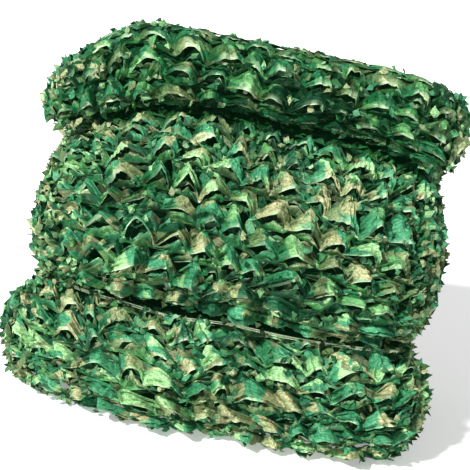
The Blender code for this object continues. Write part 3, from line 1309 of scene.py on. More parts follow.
        # How far out the upper edge and the lip stand, with the lip turned over.
        upper = mix(per.root, style.junction + self.between(self.knot.sink, 0, aside), self.gape)
        lower = mix(style.knot + 0.0012 + self.between(self.knot.sink, 1, aside), per.hood, peak)
        turned = clamp((drop - 1.0 + style.turn) / style.turn) * peak
        rise = mix(upper, lower, clamp(drop / (1.0 - style.turn)) ** mix(1.0, per.flare, self.tent))
        rise = rise * (1.0 - style.curl * turned)
        at_edge = (drop == 0.0) | (drop == 1.0)
        held = ease(self.tent / 0.22) * (1.0 - 0.35 * self.tent) * np.where(at_edge, 0.0, 1.0)
        rise = rise + style.pleat * (0.6 + per.hood / 0.022) * self.folds(len(style.hood_lines)) * held
        rise = rise + self.crumples(down, over) * np.where(drop == 0.0, 0.0, 1.0)
        fan = stacked(drop + 0.0 * aside, aside, per.phase)

        # Painted light on the left half and painted shade on the right. The turned lip and its edge are
        # pale, partly the cloth's other side and cut edge and partly a painted highlight that is weaker on
        # the right.
        lit_left = ease(crossing / 0.42) + 0.5 * drop ** 4
        lit_right = 1.0 - 0.35 * ease((crossing - 0.55) / 0.4)
        lit = np.where(crossing < 0.5, lit_left, lit_right)
        lit = mix(style.slope * mix(lit, 1.0, 0.40 + 0.45 * drop), 1.0, turned)
        sunny = np.where(crossing < 0.5, 1.0, 1.0 - style.one_sided * ease((crossing - 0.5) / 0.12))
        middle = mix(1.0, ease((peak - 0.6) / 0.35), style.flat)
        lined = (drop == 1.0) + 0.55 * (drop == style.hood_lines[-2]) * self.tent
        hem_and_highlight = lined * mix(0.25, 1.0, sunny) * middle
        look = stacked(hem_and_highlight, style.pale * turned * sunny * middle, lit)
        return self.mesh(down, over, rise, fan, look, (0.0, 0.0))

    def mesh(
        self, down: Array, over: Array, rise: Array, fan: Array, look: Array,
        print_move: tuple[float, float],
    ) -> LeafMesh:
        """Lay ribbons on the patch.

        Args:
            down: how far down the patch each point lies.
            over: how far across it.
            rise: how far out of it.
            fan: where the point lies in the creases.
            look: whether the point is on a cut edge and how much of the cloth's other side shows there, both
            partly a painted highlight, and how light the cloth is painted.
            print_move: how far the print is moved across and down.

        Returns:
            The ribbons as one mesh.
        """
        points, normals = self.patch.at(down, over)
        normals[..., 2] = np.maximum(normals[..., 2], self.least_tilt + 0.5 * normals[..., 2])
        overshoot = np.maximum(0.0, -down) + np.maximum(0.0, down - self.patch.fall)
        relief = self.patch.relief(down, over)
        rise = rise * relief + self.style.depth * mix(0.3, 1.0, relief) - 0.5 * overshoot
        points = points + normals * rise[..., None]
        points[..., 2] = np.maximum(points[..., 2], FLOOR_CLEARANCE)
        shape = rise.shape
        cut = np.array(np.broadcast_to(look, points.shape))
        # Painted shade in a crease dims the pale edges, the pale other side and the painted light, which
        # also takes each half leaf's random tone and the style's added lightness.
        tone = mix(self.per.left_tone, self.per.right_tone, ease((self.crossing - 0.4) / 0.2))
        clean = self.patch.clean(down, over)
        cut[..., 0] *= clamp(0.3 + 0.8 * tone) * clean
        cut[..., 1] *= clean
        cut[..., 2] = clamp(cut[..., 2] * (0.45 + 0.85 * tone) + self.style.light) * clean
        ply = np.full(shape, self.style.ply.value)
        cloth = stacked(over + print_move[0], down + print_move[1], ply)
        return leaf_mesh(points, grid_faces(*shape), cloth, np.broadcast_to(fan, points.shape), cut)


@dataclass(frozen=True)
class TipStyle:
    """Size and shape of single leaves: pointed, or blunt like a flap.

    Attributes:
        length: middle length in metres.
        width: middle width in metres.
        ridge: height of the crease along the middle, as a share of the width.
        droop: how strongly a leaf bends along its length.
        blunt: share of the leaves that are blunt.
        spin: how far a leaf is turned about its own length.
        skew: how far its tip is moved sideways, as a share of half the width.
        reverse: how much of the cloth's other side shows.
        light: how light each leaf's random tone is, from the least to the most.
        stations: where the rows of points lie along a leaf.
    """

    length: float = 0.018
    width: float = 0.011
    ridge: float = 0.20
    droop: float = 0.9
    blunt: float = 0.0
    spin: float = 1.0
    skew: float = 0.35
    reverse: float = 0.0
    light: tuple[float, float] = (0.25, 1.0)
    stations: tuple[float, ...] = (0.0, 0.35, 0.7, 1.0)


@dataclass
class LeafTips:
    """Single leaves, creased along the middle, at given places on the net."""

    style: TipStyle
    draw: np.random.Generator

    def build(
        self, roots: Array, toward: Array, facing: Array, clean: Array, ply: PrintShift
    ) -> LeafMesh:
        """Build one leaf at each root.

        Args:
            roots: where the leaves leave the net.
            toward: the way that each leaf points.
            facing: the way that its face looks.
            clean: how light its cloth is painted, darker with painted shade in a crease.
            ply: the shift of the pattern printed on them.

        Returns:
            The leaves as one mesh.
        """
        count = len(roots)
        style = self.style
        toward = unit(toward)
        across = unit(np.cross(toward, facing) + 1e-9)
        spin = style.spin * self.draw.normal(0.0, 1.0, (count, 1))
        across = unit(np.cos(spin) * across + np.sin(spin) * np.cross(toward, across))
        face = np.cross(across, toward)
        length = style.length * self.draw.uniform(0.6, 1.3, (count, 1, 1))
        width = style.width * self.draw.uniform(0.7, 1.3, (count, 1, 1))
        bend = style.droop * self.draw.normal(0.0, 0.6, (count, 1, 1))

        along = np.array(style.stations)[None, :, None]
        aside = np.array((-1.0, 0.0, 1.0))[None, None, :]
        kite = 1.25 * np.minimum((along + 0.15) / 0.5, (1.0 - along) / 0.65)
        is_blunt = self.draw.uniform(size=(count, 1, 1)) < style.blunt
        half = 0.5 * width * (np.where(is_blunt, 1.0 - 0.25 * along ** 3, kite) + 0.03)
        skew = style.skew * self.draw.normal(0.0, 1.0, (count, 1, 1)) * half * along
        straight = length * along * np.cos(0.5 * bend * along) + skew * aside
        ridge = style.ridge * self.draw.normal(1.0, 0.8, (count, 1, 1))
        raised = length * along * np.sin(0.5 * bend * along) + ridge * half * (1.0 - np.abs(aside)) * 2.0
        # The random tone is dimmed by painted shade in a crease.
        clean = clean[:, None, None]
        tone = self.draw.uniform(*style.light, (count, 1, 1)) * clean
        points = roots[:, None, None, :] + (
            straight[..., None] * toward[:, None, None, :]
            + (half * aside)[..., None] * across[:, None, None, :]
            + raised[..., None] * face[:, None, None, :]
        )
        points[..., 2] = np.maximum(points[..., 2], FLOOR_CLEARANCE)
        shape = raised.shape
        place = roots @ np.array(((1.0, 0.3), (0.4, 1.0), (-0.3, 0.8)))
        cloth = stacked(
            place[:, 0, None, None] + half * aside,
            place[:, 1, None, None] + straight,
            np.full(shape, ply.value),
        )
        # Pale cut edges and the pale other side, dimmed by painted shade in a crease.
        hem_and_highlight = np.broadcast_to((np.abs(aside) == 1.0) * 0.45 * clean, shape)
        cut = np.stack([hem_and_highlight, np.full(shape, style.reverse) * clean, np.broadcast_to(tone, shape)], axis=-1)
        fan = stacked(0.5 * aside + tone, 0.02 * along, 6.0 * tone)
        return leaf_mesh(points, grid_faces(count, len(style.stations), 3), cloth, fan, cut)


class GroupSocket(NamedTuple):
    """A named socket of a node group."""

    name: str
    kind: str
    default: float | tuple[float, ...] | None = None


@dataclass
class NodeTools:
    """Short calls for wiring a node tree."""

    tree: Tree

    def node(self, kind: str, values: dict[str, object] | None = None, **settings: object) -> Node:
        """Add a node with settings, and link or set its inputs.

        Args:
            kind: the node's type.
            values: inputs by name or number, each a socket to link or a value to set.
            **settings: properties of the node.

        Returns:
            The new node.
        """
        made = self.tree.nodes.new(kind)
        for name, value in settings.items():
            setattr(made, name, value)
        for name, value in (values or {}).items():
            self.feed(made.inputs[name], value)
        return made

    def feed(self, socket: Socket, value: object) -> None:
        """Link a socket to another one, or set its value.

        Args:
            socket: the input.
            value: a socket to link or a value to set.
        """
        if isinstance(value, Socket):
            self.tree.links.new(value, socket)
        else:
            socket.default_value = value

    def math(self, operation: str, first: object, second: object = 0.0) -> Socket:
        """Join two values by a Math node."""
        return self.node("ShaderNodeMath", {0: first, 1: second}, operation=operation).outputs[0]

    def ramp(
        self, value: object, low: float, high: float, start: float = 0.0, stop: float = 1.0
    ) -> Socket:
        """Map a value smoothly from low..high to start..stop.

        Args:
            value: the value.
            low: where the step begins.
            high: where it ends.
            start: the result at its beginning.
            stop: the result at its end.

        Returns:
            The result's socket.
        """
        values = {"Value": value, "From Min": low, "From Max": high, "To Min": start, "To Max": stop}
        node = self.node("ShaderNodeMapRange", values, interpolation_type="SMOOTHSTEP")
        return node.outputs["Result"]

    def blend(self, share: object, first: object, second: object) -> Socket:
        """Mix two colours.

        Args:
            share: how much of the second.
            first: the first colour.
            second: the second colour.

        Returns:
            The result's socket.
        """
        node = self.node("ShaderNodeMix", data_type="RGBA")
        self.feed(node.inputs["Factor"], share)
        self.feed(node.inputs[6], first)
        self.feed(node.inputs[7], second)
        return node.outputs[2]

    def noise(self, vector: object, scale: float, detail: float = 2.0, warp: float = 0.0) -> Socket:
        """Read a noise texture."""
        values = {"Vector": vector, "Scale": scale, "Detail": detail, "Distortion": warp}
        return self.node("ShaderNodeTexNoise", values, noise_dimensions="3D").outputs["Fac"]

    def moved(self, vector: object, offset: Triple, scale: Triple) -> Socket:
        """Scale and move a vector."""
        values = {"Vector": vector, "Location": offset, "Scale": scale}
        return self.node("ShaderNodeMapping", values).outputs[0]


def new_group(
    name: str, inputs: Sequence[GroupSocket], outputs: Sequence[GroupSocket]
) -> tuple[NodeTools, Node, Node]:
    """Make an empty shader node group with named sockets.

    Args:
        name: the group's name.
        inputs: its input sockets.
        outputs: its output sockets.

    Returns:
        Tools for its tree, its input node and its output node.
    """
    tree = bpy.data.node_groups.new(name, "ShaderNodeTree")
    for direction, sockets in (("INPUT", inputs), ("OUTPUT", outputs)):
        for socket in sockets:
            made = tree.interface.new_socket(socket.name, in_out=direction, socket_type=socket.kind)
            if socket.default is not None:
                made.default_value = socket.default
    tools = NodeTools(tree)
    return tools, tree.nodes.new("NodeGroupInput"), tree.nodes.new("NodeGroupOutput")


def new_material(name: str) -> tuple[Material, NodeTools, Node]:
    """Make a material with its tree's tools and its shader.

    Args:
        name: the material's name.

    Returns:
        The material, the tools and the shader.
    """
    made = bpy.data.materials.new(name)
    made.use_nodes = True
    return made, NodeTools(made.node_tree), made.node_tree.nodes["Principled BSDF"]


def set_glow(shader: Node, colour: Triple, strength: float) -> None:
    """Make a shader glow faintly."""
    shader.inputs["Emission Color"].default_value = (*colour, 1.0)
    shader.inputs["Emission Strength"].default_value = strength


COLOUR = "NodeSocketColor"
VALUE = "NodeSocketFloat"
VECTOR = "NodeSocketVector"


@dataclass
class ClothEffects:
    """Node groups that the net's finishes share.

    Attributes:
        streak_scale: how closely the creases lie down a leaf, across it and from leaf to leaf.
        rumple_scale: how many small dents a metre of cloth has.
        grain_scale: how many grains a metre of cloth has.
        grain_tone: the darkest and the lightest tone of a grain.
        blotches: the group of the printed pattern.
        weave: the group of the weave.
        creases: the group of the creases.
    """

    streak_scale: Triple = (22.0, 1.8, 1.7)
    rumple_scale: float = 170.0
    grain_scale: float = 300.0
    grain_tone: tuple[float, float] = (0.70, 1.30)
    blotches: Tree = field(init=False)
    weave: Tree = field(init=False)
    creases: Tree = field(init=False)

    def __post_init__(self) -> None:
        """Build each group once."""
        self.blotches = self.blotch_group()
        self.weave = self.weave_group()
        self.creases = self.crease_group()

    @staticmethod
    def blotch_group() -> Tree:
        """Build the printed pattern: lobed blotches of five colours with crisp edges.

        Returns:
            The group, which puts out the colour.
        """
        names = ("Ground", "Light", "Dark", "Khaki", "Brown")
        inputs = [GroupSocket("Cloth", VECTOR), GroupSocket("Scale", VALUE, 9.0)]
        inputs += [GroupSocket(name, COLOUR) for name in names]
        tools, start, stop = new_group("printed_blotches", inputs, [GroupSocket("Color", COLOUR)])
        cloth = tools.node("ShaderNodeVectorMath", {0: start.outputs["Cloth"]}, operation="SCALE")
        tools.feed(cloth.inputs["Scale"], start.outputs["Scale"])
        colour = start.outputs["Ground"]
        layers = (
            ("Light", 3.1, (1.0, 1.3, 1.0), 0.53),
            ("Khaki", 11.7, (0.95, 1.2, 1.0), 0.545),
            ("Dark", 23.3, (1.0, 1.2, 1.0), 0.60),
            ("Brown", 37.9, (1.2, 1.5, 1.0), 0.62),
        )
        for name, shift, scale, edge in layers:
            place = tools.moved(cloth.outputs[0], (shift, 0.7 * shift, 1.3 * shift), scale)
            level = tools.noise(place, 1.0, 1.6, 0.6)
            colour = tools.blend(tools.ramp(level, edge - 0.012, edge + 0.020), colour, start.outputs[name])
        tools.feed(stop.inputs["Color"], colour)
        return tools.tree

    @staticmethod
    def weave_group() -> Tree:
        """Build the plain weave of the coated cloth.

        Returns:
            The group, which puts out the threads' height.
        """
        inputs = [GroupSocket("Cloth", VECTOR), GroupSocket("Threads", VALUE, 1200.0)]
        tools, start, stop = new_group("plain_weave", inputs, [GroupSocket("Height", VALUE)])
        apart = tools.node("ShaderNodeSeparateXYZ", {0: start.outputs["Cloth"]})
        warp = tools.math("SINE", tools.math("MULTIPLY", apart.outputs["X"], start.outputs["Threads"]))
        weft = tools.math("SINE", tools.math("MULTIPLY", apart.outputs["Y"], start.outputs["Threads"]))
        tools.feed(stop.inputs["Height"], tools.math("MULTIPLY", warp, weft))
        return tools.tree

    def crease_group(self) -> Tree:
        """Build fine creases that run out from the knots, with pale lines along them, partly wear and partly
        painted highlight, and dark streaks, partly dirt and partly painted shade.

        Returns:
            The group, which puts out a height and three masks.
        """
        inputs = [GroupSocket("Fan", VECTOR), GroupSocket("Cloth", VECTOR)]
        outputs = [GroupSocket(name, VALUE) for name in ("Height", "Wear_Highlight_Lines", "Soiled", "Mottle")]
        tools, start, stop = new_group("knot_creases", inputs, outputs)
        fan = tools.moved(start.outputs["Fan"], (0.0, 0.0, 0.0), self.streak_scale)
        streaks = tools.noise(fan, 1.0, 2.0)
        rumple = tools.noise(start.outputs["Cloth"], self.rumple_scale, 2.0, 0.6)
        grain = tools.noise(start.outputs["Cloth"], self.grain_scale, 1.0)
        streak_height = tools.math("MULTIPLY", streaks, 0.45)
        height = tools.math("ADD", streak_height, tools.math("MULTIPLY", rumple, 0.55))
        sharp = tools.math("ABSOLUTE", tools.math("SUBTRACT", streaks, 0.5))
        tools.feed(stop.inputs["Height"], height)
        tools.feed(stop.inputs["Wear_Highlight_Lines"], tools.ramp(sharp, 0.035, 0.0))
        tools.feed(stop.inputs["Soiled"], tools.ramp(streaks, 0.50, 0.34))
        tools.feed(stop.inputs["Mottle"], tools.ramp(grain, 0.32, 0.68, *self.grain_tone))
        return tools.tree


@dataclass(frozen=True)
class LeafCloth:
    """Coated synthetic cloth, printed in blotches, with pale cut edges that also carry a painted highlight.

    Its faint glow is painted light for the light that comes through the thin cloth into its hollows. The
    colours of the print are multiplied by the painted shadow colour deep in a hollow, by a painted half
    shade above it, and by top_tone as painted light where the cloth is painted lightest. The shares say
    how strongly an effect at its full shows.
    """

    ground: Triple = (0.052, 0.225, 0.116)
    light: Triple = (0.262, 0.440, 0.212)
    dark: Triple = (0.008, 0.070, 0.034)
    khaki: Triple = (0.298, 0.300, 0.162)
    brown: Triple = (0.132, 0.144, 0.070)
    hem_and_highlight: Triple = (0.470, 0.590, 0.390)
    shadow: Triple = (0.035, 0.240, 0.095)
    half_shade: Triple = (0.345, 0.570, 0.420)
    glow: Triple = (0.030, 0.130, 0.060)
    glow_strength: float = 0.07
    top_tone: float = 1.17
    wear_and_highlight_share: float = 0.20
    dirt_and_shade_share: float = 0.35
    reverse_and_highlight_share: float = 0.62
    hem_and_highlight_share: float = 0.8
    blotch_scale: float = 12.0
    threads: float = 5200.0
    weave_depth: float = 0.0002
    crease_depth: float = 0.0022
    roughness: float = 0.45
    gloss: float = 0.15

    def material(self, name: str, effects: ClothEffects) -> Material:
        """Build the finish.

        Args:
            name: the material's name.
            effects: the shared node groups.

        Returns:
            The material.
        """
        made, tools, shader = new_material(name)
        cloth = tools.node("ShaderNodeAttribute", attribute_name="cloth").outputs["Vector"]
        fan = tools.node("ShaderNodeAttribute", attribute_name="fan").outputs["Vector"]
        cut = tools.node("ShaderNodeAttribute", attribute_name="cut").outputs["Vector"]
        parts = tools.node("ShaderNodeSeparateXYZ", {0: cut}).outputs
        print_node = tools.node("ShaderNodeGroup", node_tree=effects.blotches)
        tools.feed(print_node.inputs["Cloth"], cloth)
        tools.feed(print_node.inputs["Scale"], self.blotch_scale)
        for socket, colour in (
            ("Ground", self.ground), ("Light", self.light), ("Dark", self.dark),
            ("Khaki", self.khaki), ("Brown", self.brown),
        ):
            print_node.inputs[socket].default_value = (*colour, 1.0)
        creases = tools.node("ShaderNodeGroup", {"Fan": fan, "Cloth": cloth}, node_tree=effects.creases)
        threads = {"Cloth": cloth, "Threads": self.threads}
        weave = tools.node("ShaderNodeGroup", threads, node_tree=effects.weave)
        # Painted light and shade: the lighter the cloth is painted, the more the print goes from the shadow
        # colour through the half shade to top_tone.
        tone = tools.blend(tools.ramp(parts["Z"], 0.0, 0.45), (*self.shadow, 1.0), (*self.half_shade, 1.0))
        tone = tools.blend(tools.ramp(parts["Z"], 0.35, 1.0), tone, (*[self.top_tone] * 3, 1.0))
        toned = {0: print_node.outputs["Color"], 1: tone}
        colour = tools.node("ShaderNodeVectorMath", toned, operation="MULTIPLY")
        colour = tools.node("ShaderNodeVectorMath", {0: colour.outputs[0]}, operation="SCALE")
        tools.feed(colour.inputs["Scale"], creases.outputs["Mottle"])
        pale = (*self.hem_and_highlight, 1.0)
        # Pale lines along the creases, partly wear and partly a painted highlight, stronger where the cloth
        # is painted lit; dark streaks in the creases, partly dirt and partly painted shade.
        lit_line_share = tools.math("MULTIPLY", parts["Z"], self.wear_and_highlight_share)
        wear_and_highlight = tools.math("MULTIPLY", creases.outputs["Wear_Highlight_Lines"], lit_line_share)
        dirt_and_shade = tools.math("MULTIPLY", creases.outputs["Soiled"], self.dirt_and_shade_share)
        # The cloth's other side and the cut edges are pale, and on lips and tongues also a painted
        # highlight.
        reverse = tools.math("MULTIPLY", parts["Y"], self.reverse_and_highlight_share)
        shown = tools.blend(dirt_and_shade, colour.outputs[0], (*self.dark, 1.0))
        shown = tools.blend(wear_and_highlight, shown, pale)
        shown = tools.blend(reverse, shown, pale)
        shown = tools.blend(tools.ramp(parts["X"], 0.35, 0.9, 0.0, self.hem_and_highlight_share), shown, pale)
        tools.feed(shader.inputs["Base Color"], shown)
        rough = tools.ramp(creases.outputs["Height"], 0.3, 0.9, self.roughness - 0.08, self.roughness + 0.10)
        tools.feed(shader.inputs["Roughness"], rough)
        woven = {"Strength": 0.12, "Distance": self.weave_depth, "Height": weave.outputs["Height"]}
        creased = {"Strength": 0.9, "Distance": self.crease_depth, "Height": creases.outputs["Height"]}
        creased["Normal"] = tools.node("ShaderNodeBump", woven).outputs[0]
        tools.feed(shader.inputs["Normal"], tools.node("ShaderNodeBump", creased).outputs[0])
        shader.inputs["Metallic"].default_value = 0.0
        set_glow(shader, self.glow, self.glow_strength)
        shader.inputs["Specular IOR Level"].default_value = self.gloss
        return made


@dataclass(frozen=True)
class CordFinish:
    """Twisted synthetic cord, grey-green and slightly glossy.

    Its faint glow is painted light that keeps it pale in the shade of the folds.
    """

    # Paler than the cord's own grey-green, partly painted light against the shade of the folds.
    colour: Triple = (0.86, 0.95, 0.74)
    glow: Triple = (0.40, 0.50, 0.32)
    glow_strength: float = 0.35
    dark: Triple = (0.30, 0.38, 0.26)
    fibre_scale: Triple = (260.0, 900.0, 900.0)
    fibre_depth: float = 0.0004
    dirt_scale: float = 40.0
    roughness: float = 0.5

    def material(self, name: str) -> Material:
        """Build the finish.

        Args:
            name: the material's name.

        Returns:
            The material.
        """
        made, tools, shader = new_material(name)
        place = tools.node("ShaderNodeTexCoord").outputs["Object"]
        fibres = tools.noise(tools.moved(place, (0.0, 0.0, 0.0), self.fibre_scale), 1.0, 2.0)
        dirt = tools.noise(place, self.dirt_scale, 2.0)
        colour = tools.blend(tools.ramp(fibres, 0.35, 0.6), (*self.dark, 1.0), (*self.colour, 1.0))
        colour = tools.blend(tools.ramp(dirt, 0.5, 0.75, 0.0, 0.4), colour, (*self.dark, 1.0))
        tools.feed(shader.inputs["Base Color"], colour)
        raised = {"Strength": 0.5, "Distance": self.fibre_depth, "Height": fibres}
        tools.feed(shader.inputs["Normal"], tools.node("ShaderNodeBump", raised).outputs[0])
        rough = tools.ramp(fibres, 0.0, 1.0, self.roughness, self.roughness + 0.2)
        tools.feed(shader.inputs["Roughness"], rough)
        set_glow(shader, self.glow, self.glow_strength)
        return made


def linked_object(name: str, data: bpy.types.ID | None) -> Piece:
    """Make an object and link it to the scene.

    Args:
        name: the object's name.
        data: its mesh, curve, lamp or camera.

    Returns:
        The object.
    """
    made = bpy.data.objects.new(name, data)
    bpy.context.scene.collection.objects.link(made)
    return made


def mesh_object(name: str, mesh: LeafMesh, material: Material, sharp: float) -> Piece:
    """Make an object of a mesh of leaves.

    Args:
        name: the object's name.
        mesh: its points, faces and what its finish reads.
        material: its finish.
        sharp: the angle in degrees past which an edge is shaded as a crease.

    Returns:
        The object, linked to the scene.
    """
    data = bpy.data.meshes.new(name)
    data.vertices.add(len(mesh.points))
    data.vertices.foreach_set("co", mesh.points.astype(np.float32).ravel())
    data.loops.add(mesh.faces.size)
    data.loops.foreach_set("vertex_index", mesh.faces.astype(np.int32).ravel())
    data.polygons.add(len(mesh.faces))
    starts = np.arange(len(mesh.faces), dtype=np.int32) * mesh.faces.shape[1]
    data.polygons.foreach_set("loop_start", starts)
    data.update(calc_edges=True)
    for label, values in (("cloth", mesh.cloth), ("fan", mesh.fan), ("cut", mesh.cut)):
        layer = data.attributes.new(label, "FLOAT_VECTOR", "POINT")
        layer.data.foreach_set("vector", values.astype(np.float32).ravel())
    data.shade_smooth()
    data.set_sharp_from_angle(angle=math.radians(sharp))
    data.materials.append(material)
    return linked_object(name, data)


def settle(piece: Piece, slot: str, *nodes: str) -> Piece:
    """Ride a piece on the net's body and hide the solids that it stands for.

    Args:
        piece: the piece.
        slot: not used.
        *nodes: the solids' nodes.

    Returns:
        The piece.
    """
    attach(piece, BODY)
    if nodes:
        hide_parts(*nodes)
    log.info("%s: %d faces", piece.name, len(piece.data.polygons) if piece.type == "MESH" else 0)
    return piece


@dataclass
class NetMesh:
    """The net's four plies inside the leaves, one sheet folded in half both ways along the band."""

    band: FoldedBand
    width: float = 1.5
    length: float = 6.0
    rows: int = 300
    columns: int = 64
    depths: tuple[float, float, float, float] = (0.26, 0.42, 0.58, 0.74)
    turn: float = 0.012
    overhang: float = 0.010
    gather: float = 0.003
    lowest: float = 0.001
    seed: int = 5

    def build(self) -> LeafMesh:
        """Build the sheet as one grid of points.

        Returns:
            The sheet, with all four plies inside the band.
        """
        draw = np.random.default_rng(self.seed)
        along = np.linspace(0.0, 2.0, self.rows)[:, None] + np.zeros(self.columns)
        across = np.linspace(0.0, 2.0, self.columns)[None, :] + np.zeros((self.rows, 1))
        shape = along.shape
        path = 1.0 - np.abs(1.0 - along)
        over = 1.0 - np.abs(1.0 - across)
        second = ease((across - 1.0) / (2.0 * self.turn) + 0.5)
        inner = ease((along - 1.0) / (2.0 * self.turn) + 0.5)
        outer_half = mix(self.depths[0], self.depths[1], second)
        inner_half = mix(self.depths[3], self.depths[2], second)
        depth = mix(outer_half, inner_half, inner)
        span = self.width / 2.0
        over = over * (1.0 + 2.0 * self.overhang / span) - self.overhang / span
        count = len(self.band.stretches)
        spot = path * count
        part_of = np.minimum(spot.astype(int), count - 1)
        points = np.zeros((*shape, 3))
        for number, stretch in enumerate(self.band.stretches):
            found = self.band.section(stretch, clamp(spot - number), over, depth)
            points = np.where((part_of == number)[..., None], found, points)
        sway = np.sin(along * 61.0 + 3.0 * np.sin(across * 9.0)) * np.sin(across * 37.0 + along * 13.0)
        points[..., 1] += self.gather * sway
        points[..., 2] = np.maximum(points[..., 2] + 0.5 * self.gather * sway, self.lowest)
        ply = np.full(shape, PrintShift.MESH.value)
        cloth = stacked(across * span, along * 0.5 * self.length, ply)
        fan = stacked(across * 20.0, 0.01 + 0.0 * across, along * 20.0)
        cut = stacked(np.zeros(shape), np.zeros(shape), draw.uniform(0.0, 1.0, shape))
        return leaf_mesh(points, grid_faces(1, self.rows, self.columns), cloth, fan, cut)


@dataclass
class EdgeCord:
    """Parallel strands of edge cord where it lies bare."""

    strand: float = 0.0011
    apart: float = 0.0021
    strands: int = 3
    turns: float = 1.5
    gap: float = 0.004
    steps_each: int = 3

    def route(self, node: str, frame: dict) -> Array:
        """Read the middle of the plain cord's rings from its solid, from one end to the other.

        Args:
            node: the solid's node.

        Returns:
            The middle of each ring.
        """
        data = frame["nodes"][node].data
        points = np.zeros(3 * len(data.vertices))
        data.vertices.foreach_get("co", points)
        points = np.unique(points.reshape(-1, 3).round(6), axis=0)
        spread = points - points.mean(axis=0)
        direction = np.linalg.svd(spread, full_matrices=False)[2][0]
        order = np.argsort(spread @ direction)
        points = points[order]
        breaks = np.flatnonzero(np.diff(spread[order] @ direction) > self.gap) + 1
        return np.array([ring.mean(axis=0) for ring in np.split(points, breaks)])

    def build(self, name: str, route: Array, material: Material) -> Piece:
        """Build the strands along a route as tubes of one curve object.

        Args:
            name: the object's name.
            route: points along the cord.
            material: the cord's finish.

        Returns:
            The object, linked to the scene.
        """
        curve = bpy.data.curves.new(name, "CURVE")
        curve.dimensions = "3D"
        curve.bevel_depth = self.strand
        curve.bevel_resolution = 2
        curve.use_fill_caps = True
        reach = np.concatenate([[0.0], np.cumsum(np.linalg.norm(np.diff(route, axis=0), axis=1))])
        steps = np.linspace(0.0, reach[-1], self.steps_each * len(route))
        line = np.stack([np.interp(steps, reach, route[:, axis]) for axis in range(3)], axis=-1)
        tangent = unit(np.gradient(line, axis=0))
        upward = unit(np.cross(tangent, np.array((0.0, 1.0, 0.001))))
        sideways = np.cross(upward, tangent)
        for number in range(self.strands):
            angle = 2.0 * math.pi * (number / self.strands + self.turns * steps / reach[-1])
            around = np.cos(angle)[:, None] * upward + np.sin(angle)[:, None] * sideways
            place = line + self.apart * around
            spline = curve.splines.new("POLY")
            spline.points.add(len(place) - 1)
            spline.points.foreach_set("co", np.c_[place, np.ones(len(place))].ravel())
        curve.materials.append(material)
        return linked_object(name, curve)


class Region(NamedTuple):
    """A region of the net's leaves."""

    name: str
    patch: Patch
    style: CutStyle
    seed: int


